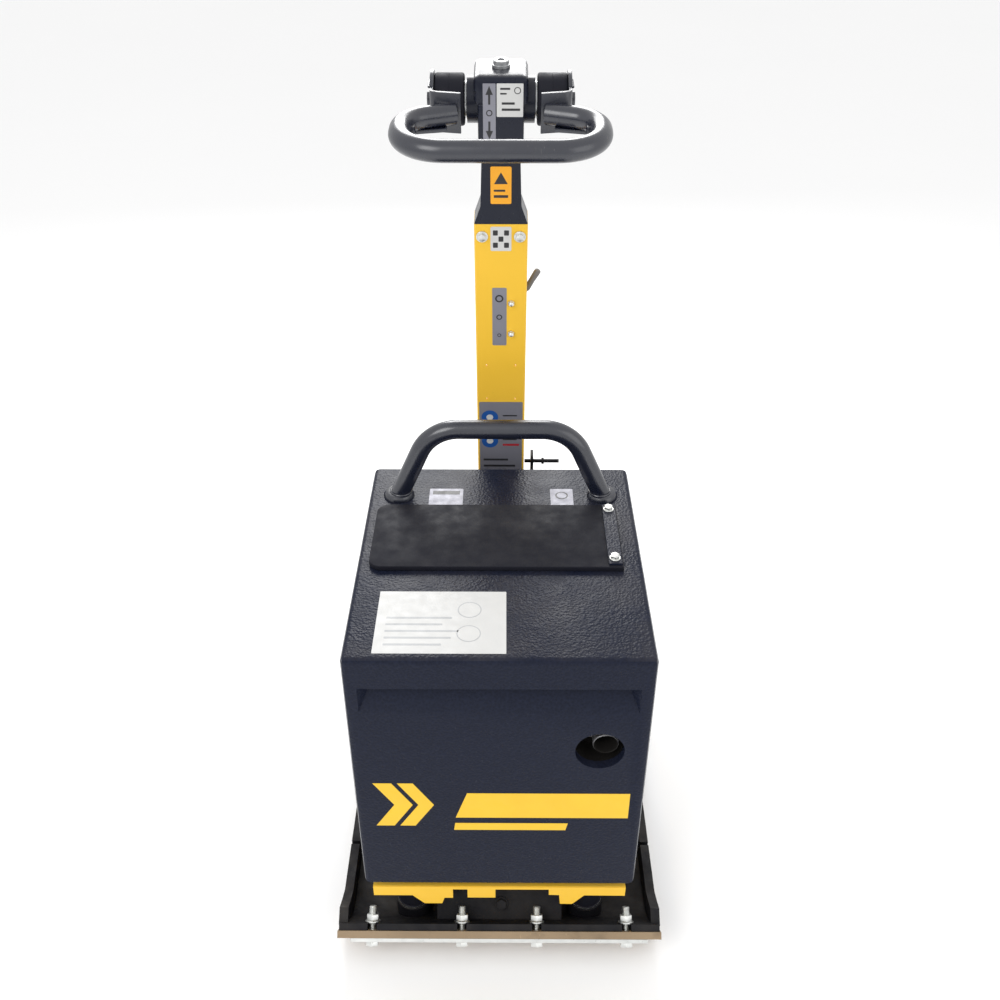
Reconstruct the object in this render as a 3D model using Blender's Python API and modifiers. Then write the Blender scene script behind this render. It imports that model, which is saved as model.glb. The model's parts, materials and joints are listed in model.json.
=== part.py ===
"""Reversible diesel plate compactor, drawbar upright in its transport position.

Axes: X to the right, Y to the rear, Z up. The origin is the middle of the sole, on the ground.
The lower mass (plate, mat, exciter) carries the upper mass (console, engine, hood) on four
rubber buffers. The drawbar tilts on the console, and the travel bow turns in the drawbar's head.
"""

import math

import bmesh
import bpy
from mathutils import Matrix, Vector

# ---------------------------------------------------------------- driving dimensions, metres

GAP = 0.0003                     # between pieces that touch
PLATE_HALF = 0.250
FLAT_HALF = 0.190                # the sole is flat from -FLAT_HALF to FLAT_HALF in Y
LIP_RADIUS = 0.100
LIP_ANGLE = math.radians(45)
MAT_LIP, PLATE_LIP = 0.055, 0.053    # straight length past the lip's bend
MAT_THICK, PLATE_THICK = 0.011, 0.010
PLATE_TOP = MAT_THICK + PLATE_THICK
MAT_REAR_ANGLE = math.radians(24)
SIDE_WALL_THICK, SIDE_WALL_TOP = 0.014, 0.062
STRIP_HALF, STRIP_THICK, STRIP_DEPTH = 0.229, 0.006, 0.034
CLAMP_BOLTS_X = (-0.197, -0.058, 0.058, 0.197)
CLAMP_BOLT_RADIUS = 0.006

HUMP_FOOT, HUMP_BROW = (-0.262, 0.052), (-0.222, 0.096)     # ends of the sloping face before the exciter
HUMP_SLOPE = math.atan2(HUMP_BROW[1] - HUMP_FOOT[1], HUMP_BROW[0] - HUMP_FOOT[0])
DRAIN_TURN = (HUMP_SLOPE, 0.0, 0.0)
DRAIN_SEAT = Vector((0.003, (HUMP_FOOT[0] + HUMP_BROW[0]) / 2, (HUMP_FOOT[1] + HUMP_BROW[1]) / 2))

BUFFER_X, BUFFER_Y, BUFFER_RADIUS = 0.137, 0.220, 0.0255
BUFFER_BOTTOM = 0.065

SHAFT_Y, SHAFT_Z, SHAFT_RADIUS = 0.036, 0.072, 0.015
WEIGHT_RADIUS = 0.033
GEAR_TEETH, GEAR_MODULE = 24, 0.003
EXCITER_HALF, EXCITER_DEPTH, EXCITER_TOP = 0.105, 0.088, 0.1225
EXCITER_WALL = 0.010

DECK_BOTTOM, DECK_TOP = 0.146, 0.154
CONSOLE_HALF, CONSOLE_FRONT, CONSOLE_REAR = 0.192, -0.268, 0.256
BEAM_BOTTOM, TAB_BOTTOM = 0.132, 0.112
SHEET = 0.006

CRANK_Y, CRANK_Z = 0.030, 0.300
BELT_X = 0.150
EXCITER_PITCH, BELT_RATIO = 0.036, 1.8
CLUTCH_PITCH = EXCITER_PITCH * BELT_RATIO
BELT_IN, BELT_OUT, BELT_HALF = 0.0055, 0.0035, 0.004
STARTER_X, STARTER_Z, ROPE_RADIUS, ROPE_START = -0.150, 0.394, 0.0025, -0.018

HOOD_HALF, HOOD_FRONT, HOOD_REAR = 0.203, -0.273, 0.176
HOOD_BOTTOM, HOOD_TOP, HOOD_WALL = 0.1655, 0.6255, 0.003
GROOVE_TOP, GROOVE_BOTTOM, GROOVE_DEPTH = 0.5755, 0.533, 0.022
EXHAUST_X, EXHAUST_Z, EXHAUST_HOLE = 0.136, 0.460, 0.0335
PIPE_X, PIPE_Z, PIPE_RADIUS = 0.144, 0.466, 0.0175

FLAP_LEFT, FLAP_RIGHT, FLAP_FRONT, FLAP_BACK = -0.185, 0.174, -0.092, 0.060
FLAP_THICK, FLAP_HINGE_X = 0.008, 0.150
FLAP_BOLT_X, FLAP_BOLTS_Y = 0.162, {"front": -0.076, "rear": 0.043}
FILLER_X, FILLER_Y = -0.020, -0.015

BOW_Y, BOW_HALF, BOW_RISE, BOW_RADIUS = 0.097, 0.157, 0.119, 0.0145
BOW_LEG_ANGLE, BOW_BEND = math.radians(66), 0.065

PIVOT = Vector((0.0, 0.295, 0.250))
DRAWBAR_LEAN = math.radians(5.54)    # forward of upright, in the transport position
DRAWBAR_HALF, DRAWBAR_WALL = 0.0385, 0.004
DRAWBAR_FRONT, DRAWBAR_BACK = -0.0202, 0.025
DRAWBAR_FOOT, DRAWBAR_HEAD = -0.030, 0.7756
EAR_IN, EAR_OUT = 0.0395, 0.0475
PIVOT_RADIUS = 0.010
LATCH_Y, LATCH_Z, LATCH_RADIUS = 0.258, 0.586, 0.0032
LATCH_PLATE_X = (0.050, 0.0545)
LATCH_HOLE = 0.0058              # in the drawbar's wall, loose round the pin

THROTTLE_X, THROTTLE_Z = 0.0155, 0.6237
THROTTLE_NUTS = {"lower": 0.5977, "upper": 0.650}
THROTTLE_ANGLE = math.radians(61)

CROSS_Y, CROSS_Z, CROSS_RADIUS = 0.006, 0.942, 0.010
HEAD_TOP = 0.986
BOSS_END = 0.045
RUBBER_IN, RUBBER_OUT, RUBBER_RADIUS = 0.0483, 0.0877, 0.0335
HANDLE_HALF, HANDLE_REACH, HANDLE_RADIUS = 0.1265, 0.176, 0.014
HEAD_BOLTS_X, HEAD_BOLT_Z = {"left": -0.027, "right": 0.027}, 0.757

# ---------------------------------------------------------------- finishes: colour, roughness, metal

FINISHES = {
    "yellow_paint": ((0.86, 0.56, 0.045), 0.40, 0.0),
    "hood_paint": ((0.022, 0.024, 0.036), 0.38, 0.0),
    "black_cast": ((0.020, 0.020, 0.022), 0.55, 0.0),
    "cast_metal": ((0.30, 0.30, 0.31), 0.55, 0.9),
    "steel": ((0.55, 0.56, 0.57), 0.32, 1.0),
    "zinc": ((0.72, 0.73, 0.72), 0.35, 1.0),
    "rubber": ((0.016, 0.016, 0.018), 0.72, 0.0),
    "mat": ((0.33, 0.22, 0.11), 0.60, 0.0),
    "black_plastic": ((0.020, 0.020, 0.022), 0.50, 0.0),
    "grey_grip": ((0.16, 0.15, 0.14), 0.60, 0.0),
}

TO_X = (math.radians(90), 0.0, math.radians(90))    # turns +Z onto +X, X onto Y and Y onto Z
TO_Y = (math.radians(-90), 0.0, 0.0)                # turns +Z onto +Y
TO_XZ = (math.radians(90), 0.0, 0.0)                # stands a flat outline up, seen from the front
UPRIGHT = (0.0, 0.0, 0.0)


# ---------------------------------------------------------------- scene helpers

def clear_scene():
    for obj in list(bpy.data.objects):
        bpy.data.objects.remove(obj, do_unlink=True)


def new_collection(name):
    collection = bpy.data.collections.new(name)
    bpy.context.scene.collection.children.link(collection)
    return collection


def make_material(name):
    colour, roughness, metallic = FINISHES[name]
    material = bpy.data.materials.new(name)
    material.use_nodes = True
    shader = material.node_tree.nodes["Principled BSDF"]
    shader.inputs["Base Color"].default_value = (*colour, 1.0)
    shader.inputs["Roughness"].default_value = roughness
    shader.inputs["Metallic"].default_value = metallic
    return material


def place(obj, at, turn, frame, finish):
    """Link an object as a part with a finish, or as a cutting tool when finish is None."""
    obj.location = at
    obj.rotation_euler = turn
    obj.parent = frame
    if finish is None:
        tools.objects.link(obj)
        obj.hide_render = True
        obj.display_type = "WIRE"
    else:
        parts.objects.link(obj)
        obj.data.materials.append(materials[finish])
    return obj


def new_frame(name, at, turn, parent=None):
    frame = bpy.data.objects.new(name, None)
    frame.location = at
    frame.rotation_euler = turn
    frame.parent = parent
    parts.objects.link(frame)
    return frame


def from_bmesh(name, bm, at, turn, frame, finish, smooth=False):
    bmesh.ops.recalc_face_normals(bm, faces=bm.faces[:])
    mesh = bpy.data.meshes.new(name)
    bm.to_mesh(mesh)
    bm.free()
    if smooth:
        mesh.shade_smooth()
        mesh.set_sharp_from_angle(angle=math.radians(35))
    return place(bpy.data.objects.new(name, mesh), at, turn, frame, finish)


def box(name, low, high, finish=None, frame=None, round_edges=0.0, top_scale=None):
    """A box between two corners; top_scale narrows its upper face in X and Y."""
    low, high = Vector(low), Vector(high)
    size = high - low
    bm = bmesh.new()
    bmesh.ops.create_cube(bm, size=1.0)
    bmesh.ops.scale(bm, vec=size, verts=bm.verts[:])
    if top_scale:
        upper = [v for v in bm.verts if v.co.z > 0]
        bmesh.ops.scale(bm, vec=(top_scale[0], top_scale[1], 1.0), verts=upper)
    obj = from_bmesh(name, bm, (low + high) / 2, UPRIGHT, frame, finish)
    if round_edges:
        add_bevel(obj, round_edges)
    return obj


def cylinder(name, radius, start, length, turn=UPRIGHT, finish=None, frame=None, sides=24, end_radius=None):
    """A cylinder or cone that begins at start and runs along its turned +Z."""
    bm = bmesh.new()
    far = radius if end_radius is None else end_radius
    bmesh.ops.create_cone(bm, cap_ends=True, segments=sides, radius1=radius, radius2=far, depth=length)
    bmesh.ops.translate(bm, vec=(0, 0, length / 2), verts=bm.verts[:])
    return from_bmesh(name, bm, start, turn, frame, finish, smooth=True)


def turned(name, profile, at, turn=UPRIGHT, finish=None, frame=None, steps=24, ring=False):
    """A lathe shape: (radius, height) points, top to bottom down the outer side."""
    mesh = bpy.data.meshes.new(name)
    edges = [(i, i + 1) for i in range(len(profile) - 1)]
    if ring:
        edges.append((len(profile) - 1, 0))
    mesh.from_pydata([(radius, 0.0, height) for radius, height in profile], edges, [])
    obj = place(bpy.data.objects.new(name, mesh), at, turn, frame, finish)
    screw = obj.modifiers.new("Turned", "SCREW")
    screw.steps = screw.render_steps = steps
    screw.use_merge_vertices = True
    screw.merge_threshold = 0.00001
    screw.use_smooth_shade = False
    return obj


def curve_to_mesh(curve_obj):
    """The curve's solid as a mesh object with welded caps, in the curve's place."""
    bpy.context.view_layer.update()
    graph = bpy.context.evaluated_depsgraph_get()
    mesh = bpy.data.meshes.new_from_object(curve_obj.evaluated_get(graph))
    bm = bmesh.new()
    bm.from_mesh(mesh)
    bmesh.ops.remove_doubles(bm, verts=bm.verts[:], dist=0.000002)
    bmesh.ops.recalc_face_normals(bm, faces=bm.faces[:])
    bm.to_mesh(mesh)
    bm.free()
    curve = curve_obj.data
    bpy.data.objects.remove(curve_obj, do_unlink=True)
    bpy.data.curves.remove(curve)
    mesh.materials.clear()
    return mesh


def flat_shape(name, loops, thickness, at, turn, finish=None, frame=None, smooth=False):
    """A flat outline with its holes, given thickness to both sides of its plane."""
    curve = bpy.data.curves.new(name, "CURVE")
    curve.dimensions = "2D"
    curve.fill_mode = "BOTH"
    curve.extrude = thickness / 2
    for loop in loops:
        spline = curve.splines.new("POLY")
        spline.points.add(len(loop) - 1)
        for point, (x, y) in zip(spline.points, loop):
            point.co = (x, y, 0.0, 1.0)
        spline.use_cyclic_u = True
    temporary = bpy.data.objects.new(name, curve)
    tools.objects.link(temporary)
    mesh = curve_to_mesh(temporary)
    if smooth:
        mesh.shade_smooth()
        mesh.set_sharp_from_angle(angle=math.radians(35))
    return place(bpy.data.objects.new(name, mesh), at, turn, frame, finish)


def tube(name, points, radius, finish=None, frame=None, sides_level=3):
    """A round bar along a path of points."""
    curve = bpy.data.curves.new(name, "CURVE")
    curve.dimensions = "3D"
    curve.bevel_depth = radius
    curve.bevel_resolution = sides_level
    curve.use_fill_caps = True
    spline = curve.splines.new("POLY")
    spline.points.add(len(points) - 1)
    for point, co in zip(spline.points, points):
        point.co = (*co, 1.0)
    temporary = bpy.data.objects.new(name, curve)
    tools.objects.link(temporary)
    mesh = curve_to_mesh(temporary)
    mesh.shade_smooth()
    mesh.set_sharp_from_angle(angle=math.radians(50))
    return place(bpy.data.objects.new(name, mesh), (0, 0, 0), UPRIGHT, frame, finish)


def boolean(obj, tool, operation):
    modifier = obj.modifiers.new(operation.title(), "BOOLEAN")
    modifier.operation = operation
    modifier.object = tool
    return obj


def cut(obj, *cutters):
    for cutter in cutters:
        boolean(obj, cutter, "DIFFERENCE")
    return obj


def join(obj, *others):
    for other in others:
        boolean(obj, other, "UNION")
    return obj


def add_bevel(obj, width, segments=2):
    bevel = obj.modifiers.new("Rounded", "BEVEL")
    bevel.width = width
    bevel.segments = segments
    bevel.limit_method = "ANGLE"
    bevel.angle_limit = math.radians(50)
    return obj


# ---------------------------------------------------------------- outline helpers

def circle(x, y, radius, steps=24):
    turns = [2 * math.pi * i / steps for i in range(steps)]
    return [(x + radius * math.cos(t), y + radius * math.sin(t)) for t in turns]


def rectangle(left, bottom, right, top):
    return [(left, bottom), (right, bottom), (right, top), (left, top)]


def filleted(points, radii, steps=6, closed=False):
    """The path with an arc of each radius at each corner; ends stay sharp unless closed."""
    count = len(points)
    result = []
    for i, point in enumerate(points):
        corner = Vector(point)
        is_end = not closed and i in (0, count - 1)
        if is_end or not radii[i]:
            result.append(tuple(corner))
            continue
        before = (Vector(points[i - 1]) - corner).normalized()
        after = (Vector(points[(i + 1) % count]) - corner).normalized()
        half = before.angle(after) / 2
        reach = radii[i] / math.tan(half)
        centre = corner + (before + after).normalized() * radii[i] / math.sin(half)
        start, end = corner + before * reach - centre, corner + after * reach - centre
        sweep = start.angle(end)
        for step in range(steps + 1):
            share = step / steps
            weights = math.sin((1 - share) * sweep), math.sin(share * sweep)
            result.append(tuple(centre + (start * weights[0] + end * weights[1]) / math.sin(sweep)))
    return result


def rounded_rectangle(left, bottom, right, top, radius, steps=5):
    corners = rectangle(left, bottom, right, top)
    return filleted(corners, [radius] * 4, steps, closed=True)


def sole_end(depth, straight, angle, side, steps=8):
    """(y, z) points of the sole's curved end at a depth above its lower skin, flat part first."""
    radius = LIP_RADIUS - depth
    points = []
    for step in range(steps + 1):
        turn = angle * step / steps
        y = FLAT_HALF + radius * math.sin(turn)
        points.append((side * y, LIP_RADIUS - radius * math.cos(turn)))
    y, z = points[-1]
    if straight:
        points.append((y + side * straight * math.cos(angle), z + straight * math.sin(angle)))
    return points


def sole_outline(low, high, front_straight, rear_straight, rear_angle):
    """The side view of a skin of the sole between two depths."""
    outline = []
    for depth, way in ((low, 1), (high, -1)):
        front = sole_end(depth, front_straight, LIP_ANGLE, -1)
        rear = sole_end(depth, rear_straight, rear_angle, 1)
        outline += (front[::-1] + rear)[::way]
    return outline


# ---------------------------------------------------------------- lower mass

def make_sole_mat():
    outline = sole_outline(0.0, MAT_THICK - GAP, MAT_LIP, 0.0, MAT_REAR_ANGLE)
    mat = flat_shape("sole_mat", [outline], 2 * PLATE_HALF, (0, 0, 0), TO_X, "mat")
    for x in CLAMP_BOLTS_X:
        hole = cylinder("mat_bolt_hole", CLAMP_BOLT_RADIUS + GAP, (x, -bolt_reach(), -0.005), 0.03,
                        frame=lip_frame, sides=16)
        cut(mat, hole)


def bolt_reach():
    """How far up the lip the clamp bolts stand."""
    return PLATE_LIP - 0.013


def side_wall_outline():
    """The raised edge of the plate in side view, sunk a little into the plate's skin."""
    sunk = MAT_THICK + 0.6 * PLATE_THICK
    lower_front = sole_end(sunk, 0.8 * PLATE_LIP, LIP_ANGLE, -1)
    lower_rear = sole_end(sunk, 0.8 * PLATE_LIP, LIP_ANGLE, 1)
    shoulder = FLAT_HALF + 0.020
    upper = [(0.258, 0.0860), (0.236, 0.0740), (shoulder, SIDE_WALL_TOP)]
    front = [(-y, z) for y, z in upper]
    return lower_front[::-1] + lower_rear + upper + front[::-1]


def bulkhead_outline(inset):
    """The hump in front of the exciter in side view; inset shrinks it to the hollow inside."""
    rear = -0.098 + (0.02 if inset else 0.0)
    floor = PLATE_TOP + GAP if inset else PLATE_TOP - 0.006
    brow, foot = HUMP_BROW, HUMP_FOOT
    return [(rear, floor), (rear, brow[1] + 0.008 - inset), (brow[0] + inset * 0.6, brow[1] - inset),
            (foot[0] + inset * 1.3, foot[1]), (foot[0] + 0.030 + inset * 1.3, floor)]


def make_base_plate():
    outline = sole_outline(MAT_THICK, PLATE_TOP, PLATE_LIP, PLATE_LIP, LIP_ANGLE)
    plate = flat_shape("base_plate", [outline], 2 * PLATE_HALF - 0.004, (0, 0, 0), TO_X, "black_cast")
    middle = MAT_THICK + PLATE_THICK / 2
    below = sole_outline(-0.030, middle, PLATE_LIP, PLATE_LIP, LIP_ANGLE)
    under_skin = flat_shape("under_skin", [below], 2 * PLATE_HALF, (0, 0, 0), TO_X)
    for side in (-1, 1):
        x = side * (PLATE_HALF - SIDE_WALL_THICK / 2)
        wall = flat_shape("side_wall", [side_wall_outline()], SIDE_WALL_THICK, (x, 0, 0), TO_X)
        join(plate, wall)
        for y in (-BUFFER_Y, BUFFER_Y):
            pad = cylinder("buffer_pad", BUFFER_RADIUS + 0.004, (side * BUFFER_X, y, 0.0),
                           BUFFER_BOTTOM - GAP, sides=24, end_radius=BUFFER_RADIUS + 0.002)
            join(plate, cut(pad, under_skin))
    hump = flat_shape("bulkhead", [bulkhead_outline(0.0)], 0.196, (0, 0, 0), TO_X)
    cut(hump, flat_shape("bulkhead_hollow", [bulkhead_outline(0.010)], 0.176, (0, 0, 0), TO_X))
    join(plate, cut(hump, under_skin))
    for y in (-0.118, 0.118):
        for side in (-1, 1):
            x = side * (PLATE_HALF - SIDE_WALL_THICK / 2)
            half = Vector((SIDE_WALL_THICK, 0.003, 0.010))
            middle = Vector((x, y, SIDE_WALL_TOP))
            cut(plate, box("wall_slot", middle - half, middle + half))
    for x in CLAMP_BOLTS_X:
        reach, width = bolt_reach(), CLAMP_BOLT_RADIUS + 0.0012
        cut(plate, box("lip_slot", (x - width, -PLATE_LIP - 0.01, MAT_THICK - 0.002),
                       (x + width, -reach + width, PLATE_TOP + 0.004), frame=lip_frame))
    cut(plate, cylinder("drain_hole", 0.0065, drain_point(-0.02), 0.030, DRAIN_TURN, sides=16))


def drain_point(out):
    """A point on the drain plug's axis, so far out of the hump's sloping face."""
    return DRAIN_SEAT + Matrix.Rotation(DRAIN_TURN[0], 3, "X") @ Vector((0, 0, out))


def make_mat_clamp():
    """The zinc strip under the mat's front edge, with its four bolts and flange nuts."""
    back, front = -(MAT_LIP - 0.001 - STRIP_DEPTH), -(MAT_LIP - 0.001)
    strip = box("mat_clamp_strip", (-STRIP_HALF, front, -STRIP_THICK), (STRIP_HALF, back, -GAP), "zinc",
                lip_frame)
    reach = bolt_reach()
    head, above = 0.0075, PLATE_TOP + 0.0245
    for number, x in enumerate(CLAMP_BOLTS_X, start=1):
        hole = cylinder("strip_hole", CLAMP_BOLT_RADIUS + GAP, (x, -reach, -0.01), 0.02, frame=lip_frame,
                        sides=16)
        cut(strip, hole)
        bottom = -STRIP_THICK - GAP
        bolt = cylinder(f"clamp_bolt_{number}", 0.0104, (x, -reach, bottom - head), head, finish="zinc",
                        frame=lip_frame, sides=6)
        join(bolt, cylinder("clamp_shank", CLAMP_BOLT_RADIUS, (x, -reach, bottom - head / 2),
                            above - bottom + head / 2, frame=lip_frame, sides=16))
        washer_bottom = PLATE_TOP + GAP
        nut = cylinder(f"clamp_nut_{number}", 0.0104, (x, -reach, washer_bottom + 0.0015), 0.0105,
                       finish="zinc", frame=lip_frame, sides=6)
        join(nut, cylinder("nut_washer", 0.012, (x, -reach, washer_bottom), 0.0025, frame=lip_frame,
                           sides=24))
        cut(nut, cylinder("nut_bore", CLAMP_BOLT_RADIUS + 2 * GAP, (x, -reach, washer_bottom - 0.005), 0.03,
                          frame=lip_frame, sides=16))


def make_drain_plug():
    plug = cylinder("drain_plug", 0.0058, drain_point(-0.008), 0.010, DRAIN_TURN, "steel", sides=16)
    join(plug, cylinder("plug_flange", 0.011, drain_point(2 * GAP), 0.0025, DRAIN_TURN, sides=20),
         cylinder("plug_hex", 0.0085, drain_point(0.002), 0.007, DRAIN_TURN, sides=6))


def housing_outline(shrink):
    low = PLATE_TOP + GAP + shrink
    return rounded_rectangle(-EXCITER_DEPTH + shrink, low, EXCITER_DEPTH - shrink, EXCITER_TOP - shrink,
                             0.020 - shrink)


def make_exciter_housing():
    housing = flat_shape("exciter_housing", [housing_outline(0.0), housing_outline(EXCITER_WALL)],
                         2 * EXCITER_HALF, (0, 0, 0), TO_X, "cast_metal", smooth=True)
    for side in (-1, 1):
        edge = side * (EXCITER_DEPTH - 0.004)
        low = (-0.085, min(edge, side * 0.094), PLATE_TOP + GAP)
        high = (0.085, max(edge, side * 0.094), PLATE_TOP + 0.012)
        join(housing, box("housing_foot", low, high))


def make_exciter_cover(name, side):
    """An end cover with inner bosses that hold the shaft ends."""
    thick, inner = 0.012, EXCITER_HALF + GAP
    outer = inner + thick
    cover = flat_shape(name, [housing_outline(0.0)], thick, (side * (inner + outer) / 2, 0, 0), TO_X,
                       "cast_metal", smooth=True)
    for y in (-SHAFT_Y, SHAFT_Y):
        start = -outer + 0.002 if side < 0 else inner - 0.010
        length = outer - inner + 0.010 - 0.002
        join(cover, cylinder("shaft_boss", 0.025, (start, y, SHAFT_Z), length, TO_X, sides=24))
        through = side > 0 and y > 0
        reach = 0.030 if through else 0.016
        start = side * (inner - 0.012)
        bore = cylinder("shaft_bore", SHAFT_RADIUS + 3 * GAP,
                        (min(start, start + side * reach), y, SHAFT_Z), reach, TO_X, sides=24)
        cut(cover, bore)


def make_eccentric_shaft(name, y, right_end):
    left = -EXCITER_HALF - 0.001
    shaft = cylinder(name, SHAFT_RADIUS, (left, y, SHAFT_Z), right_end - left, TO_X, "steel", sides=24)
    weight = cylinder("weight", WEIGHT_RADIUS, (-0.050, y, SHAFT_Z), 0.110, TO_X, sides=24)
    cut(weight, box("weight_cut", (-0.06, y - 0.04, SHAFT_Z + 0.004), (0.07, y + 0.04, SHAFT_Z + 0.05)))
    join(shaft, weight)


def gear_outline(turn):
    """Straight-flanked teeth with backlash; turn shifts them by a share of one tooth."""
    pitch = GEAR_MODULE * GEAR_TEETH / 2
    levels = ((pitch - 1.2 * GEAR_MODULE, 0.30), (pitch + 0.8 * GEAR_MODULE, 0.11))
    outline = []
    for tooth in range(GEAR_TEETH):
        middle = 2 * math.pi * (tooth + turn) / GEAR_TEETH
        share = 2 * math.pi / GEAR_TEETH
        corners = [(levels[0], -1), (levels[1], -1), (levels[1], 1), (levels[0], 1)]
        for (radius, half), side in corners:
            angle = middle + side * half * share
            outline.append((radius * math.cos(angle), radius * math.sin(angle)))
    return outline


def make_exciter_gear(name, y, turn):
    loops = [gear_outline(turn), circle(0, 0, SHAFT_RADIUS + GAP)]
    flat_shape(name, loops, 0.018, (-0.078, y, SHAFT_Z), TO_X, "steel")


def pulley_profile(pitch, bore, half):
    """A V-grooved rim on a hub, as a closed ring profile about its axis."""
    rim, root = pitch + BELT_OUT + 0.001, pitch - BELT_IN - GAP
    return [(bore, half), (rim, half), (rim, half - 0.002), (root, BELT_HALF + GAP),
            (root, -BELT_HALF - GAP), (rim, -half + 0.002), (rim, -half), (bore, -half)]


def make_exciter_pulley():
    turned("exciter_pulley", pulley_profile(EXCITER_PITCH, SHAFT_RADIUS + GAP, 0.010),
           (BELT_X, SHAFT_Y, SHAFT_Z), TO_X, "cast_metal", ring=True)


def make_rubber_buffers():
    top = DECK_BOTTOM - GAP
    places = [(x, y) for y in (-BUFFER_Y, BUFFER_Y) for x in (-BUFFER_X, BUFFER_X)]
    for number, (x, y) in enumerate(places, start=1):
        height = top - BUFFER_BOTTOM
        profile = [(0, height), (BUFFER_RADIUS, height), (BUFFER_RADIUS, height - 0.006),
                   (BUFFER_RADIUS - 0.004, height / 2), (BUFFER_RADIUS, 0.006), (BUFFER_RADIUS, 0), (0, 0)]
        turned(f"rubber_buffer_{number}", profile, (x, y, BUFFER_BOTTOM), finish="rubber", steps=20)


# ---------------------------------------------------------------- upper mass: console and drive

def front_beam_outline():
    """The console's front edge seen from the front: bars, two hanging tabs, a notch and a thin part."""
    top, arch = DECK_TOP - 0.001, DECK_BOTTOM + 0.001
    return [(-CONSOLE_HALF, top), (-CONSOLE_HALF, BEAM_BOTTOM), (-0.133, BEAM_BOTTOM),
            (-0.115, TAB_BOTTOM), (-0.088, TAB_BOTTOM), (-0.084, 0.126), (-0.071, 0.126),
            (-0.071, arch), (-0.0486, arch), (-0.0486, 0.127), (-0.006, 0.127),
            (-0.006, arch + 0.0002), (0.0756, arch + 0.0004), (0.0756, 0.1345), (0.0914, 0.1340),
            (0.0934, TAB_BOTTOM), (0.1120, TAB_BOTTOM - 0.0002), (0.1300, 0.1335), (CONSOLE_HALF, 0.1330),
            (CONSOLE_HALF, top)]


def ear_outline():
    """A drawbar ear in side view, with its pivot bore."""
    y, z = PIVOT.y, PIVOT.z
    corners = [(0.190, DECK_TOP - 0.004), (0.238, DECK_TOP - 0.004), (y + 0.026, z - 0.030),
               (y + 0.026, z + 0.026), (y - 0.030, z + 0.026), (0.190, 0.190)]
    return filleted(corners, [0, 0, 0.024, 0.024, 0.024, 0], 4, closed=True)


def make_console():
    deck = box("engine_console", (-CONSOLE_HALF + 0.0005, CONSOLE_FRONT + 0.001, DECK_BOTTOM),
               (CONSOLE_HALF - 0.0005, CONSOLE_REAR, DECK_TOP), "yellow_paint")
    join(deck, flat_shape("front_beam", [front_beam_outline()], SHEET, (0, CONSOLE_FRONT + SHEET / 2, 0),
                          TO_XZ))
    for side in (-1, 1):
        inner, outer = sorted((side * (CONSOLE_HALF - SHEET), side * (CONSOLE_HALF - 0.001)))
        join(deck, box("side_flange", (inner, CONSOLE_FRONT + 0.002, BEAM_BOTTOM + 0.002),
                       (outer, CONSOLE_REAR - 0.002, DECK_TOP - 0.001)))
        for y in (-0.110, 0.090):
            inner, outer = sorted((side * (CONSOLE_HALF - 0.012), side * (HOOD_HALF - HOOD_WALL - GAP)))
            join(deck, box("hood_foot", (inner, y, DECK_TOP - 0.003), (outer, y + 0.040, 0.205)))
        inner, outer = sorted((side * EAR_IN, side * EAR_OUT))
        ear = flat_shape("drawbar_ear", [ear_outline(), circle(PIVOT.y, PIVOT.z, PIVOT_RADIUS + GAP)],
                         outer - inner, ((inner + outer) / 2, 0, 0), TO_X)
        join(deck, ear)
    join(deck, box("rear_flange", (-CONSOLE_HALF + 0.002, CONSOLE_REAR - SHEET, BEAM_BOTTOM + 0.003),
                   (CONSOLE_HALF - 0.002, CONSOLE_REAR - 0.001, DECK_TOP - 0.002)))
    cut(deck, box("belt_window", (BELT_X - 0.016, -0.055, 0.10), (BELT_X + 0.016, 0.115, 0.20)))


def make_crankcase():
    case = box("crankcase", (-0.085, -0.095, DECK_TOP + GAP), (0.095, 0.125, 0.375), "cast_metal",
               round_edges=0.008)
    cut(case, box("crankcase_hollow", (-0.075, -0.085, 0.14), (0.085, 0.115, 0.365)))
    cut(case, cylinder("crank_bore", 0.017, (-0.10, CRANK_Y, CRANK_Z), 0.21, TO_X, sides=24))
    cut(case, cylinder("piston_bore", 0.034, (0.004, CRANK_Y, 0.35), 0.04, sides=24))


def make_cylinder():
    """The air-cooled barrel: a comb of fins, with the rocker cover on top."""
    root, tip, fin, pitch, foot = 0.044, 0.060, 0.003, 0.0125, 0.3753
    right = [(root, foot)]
    for number in range(8):
        z = foot + 0.010 + number * pitch
        right += [(root, z), (tip, z), (tip, z + fin), (root, z + fin)]
    top = right[-1][1] + 0.010
    right += [(root, top), (root - 0.006, top + 0.022)]
    outline = right + [(-x, z - 0.0002) for x, z in reversed(right)]
    barrel = flat_shape("engine_cylinder", [outline], 0.110, (0.004, CRANK_Y, 0), TO_XZ, "cast_metal")
    cut(barrel, cylinder("barrel_bore", 0.034, (0.004, CRANK_Y, 0.36), 0.09, sides=24))


def make_crankshaft():
    """Shaft, counterweight disc and flywheel in one, turning about X."""
    at, radius = (0, CRANK_Y, CRANK_Z), 0.015
    turned("crankshaft",
           [(0, 0.168), (0.011, 0.168), (0.011, 0.122), (radius, 0.120), (radius, 0.030), (0.050, 0.030),
            (0.050, -0.020), (radius, -0.020), (radius, -0.108), (0.095, -0.108), (0.095, -0.132),
            (0.022, -0.132), (0.022, -0.145), (0, -0.145)],
           at, TO_X, "steel", steps=28)


def make_clutch_drum():
    turned("clutch_drum", pulley_profile(CLUTCH_PITCH, 0.011 + GAP, 0.014), (BELT_X, CRANK_Y, CRANK_Z),
           TO_X, "cast_metal", steps=32, ring=True)


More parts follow.
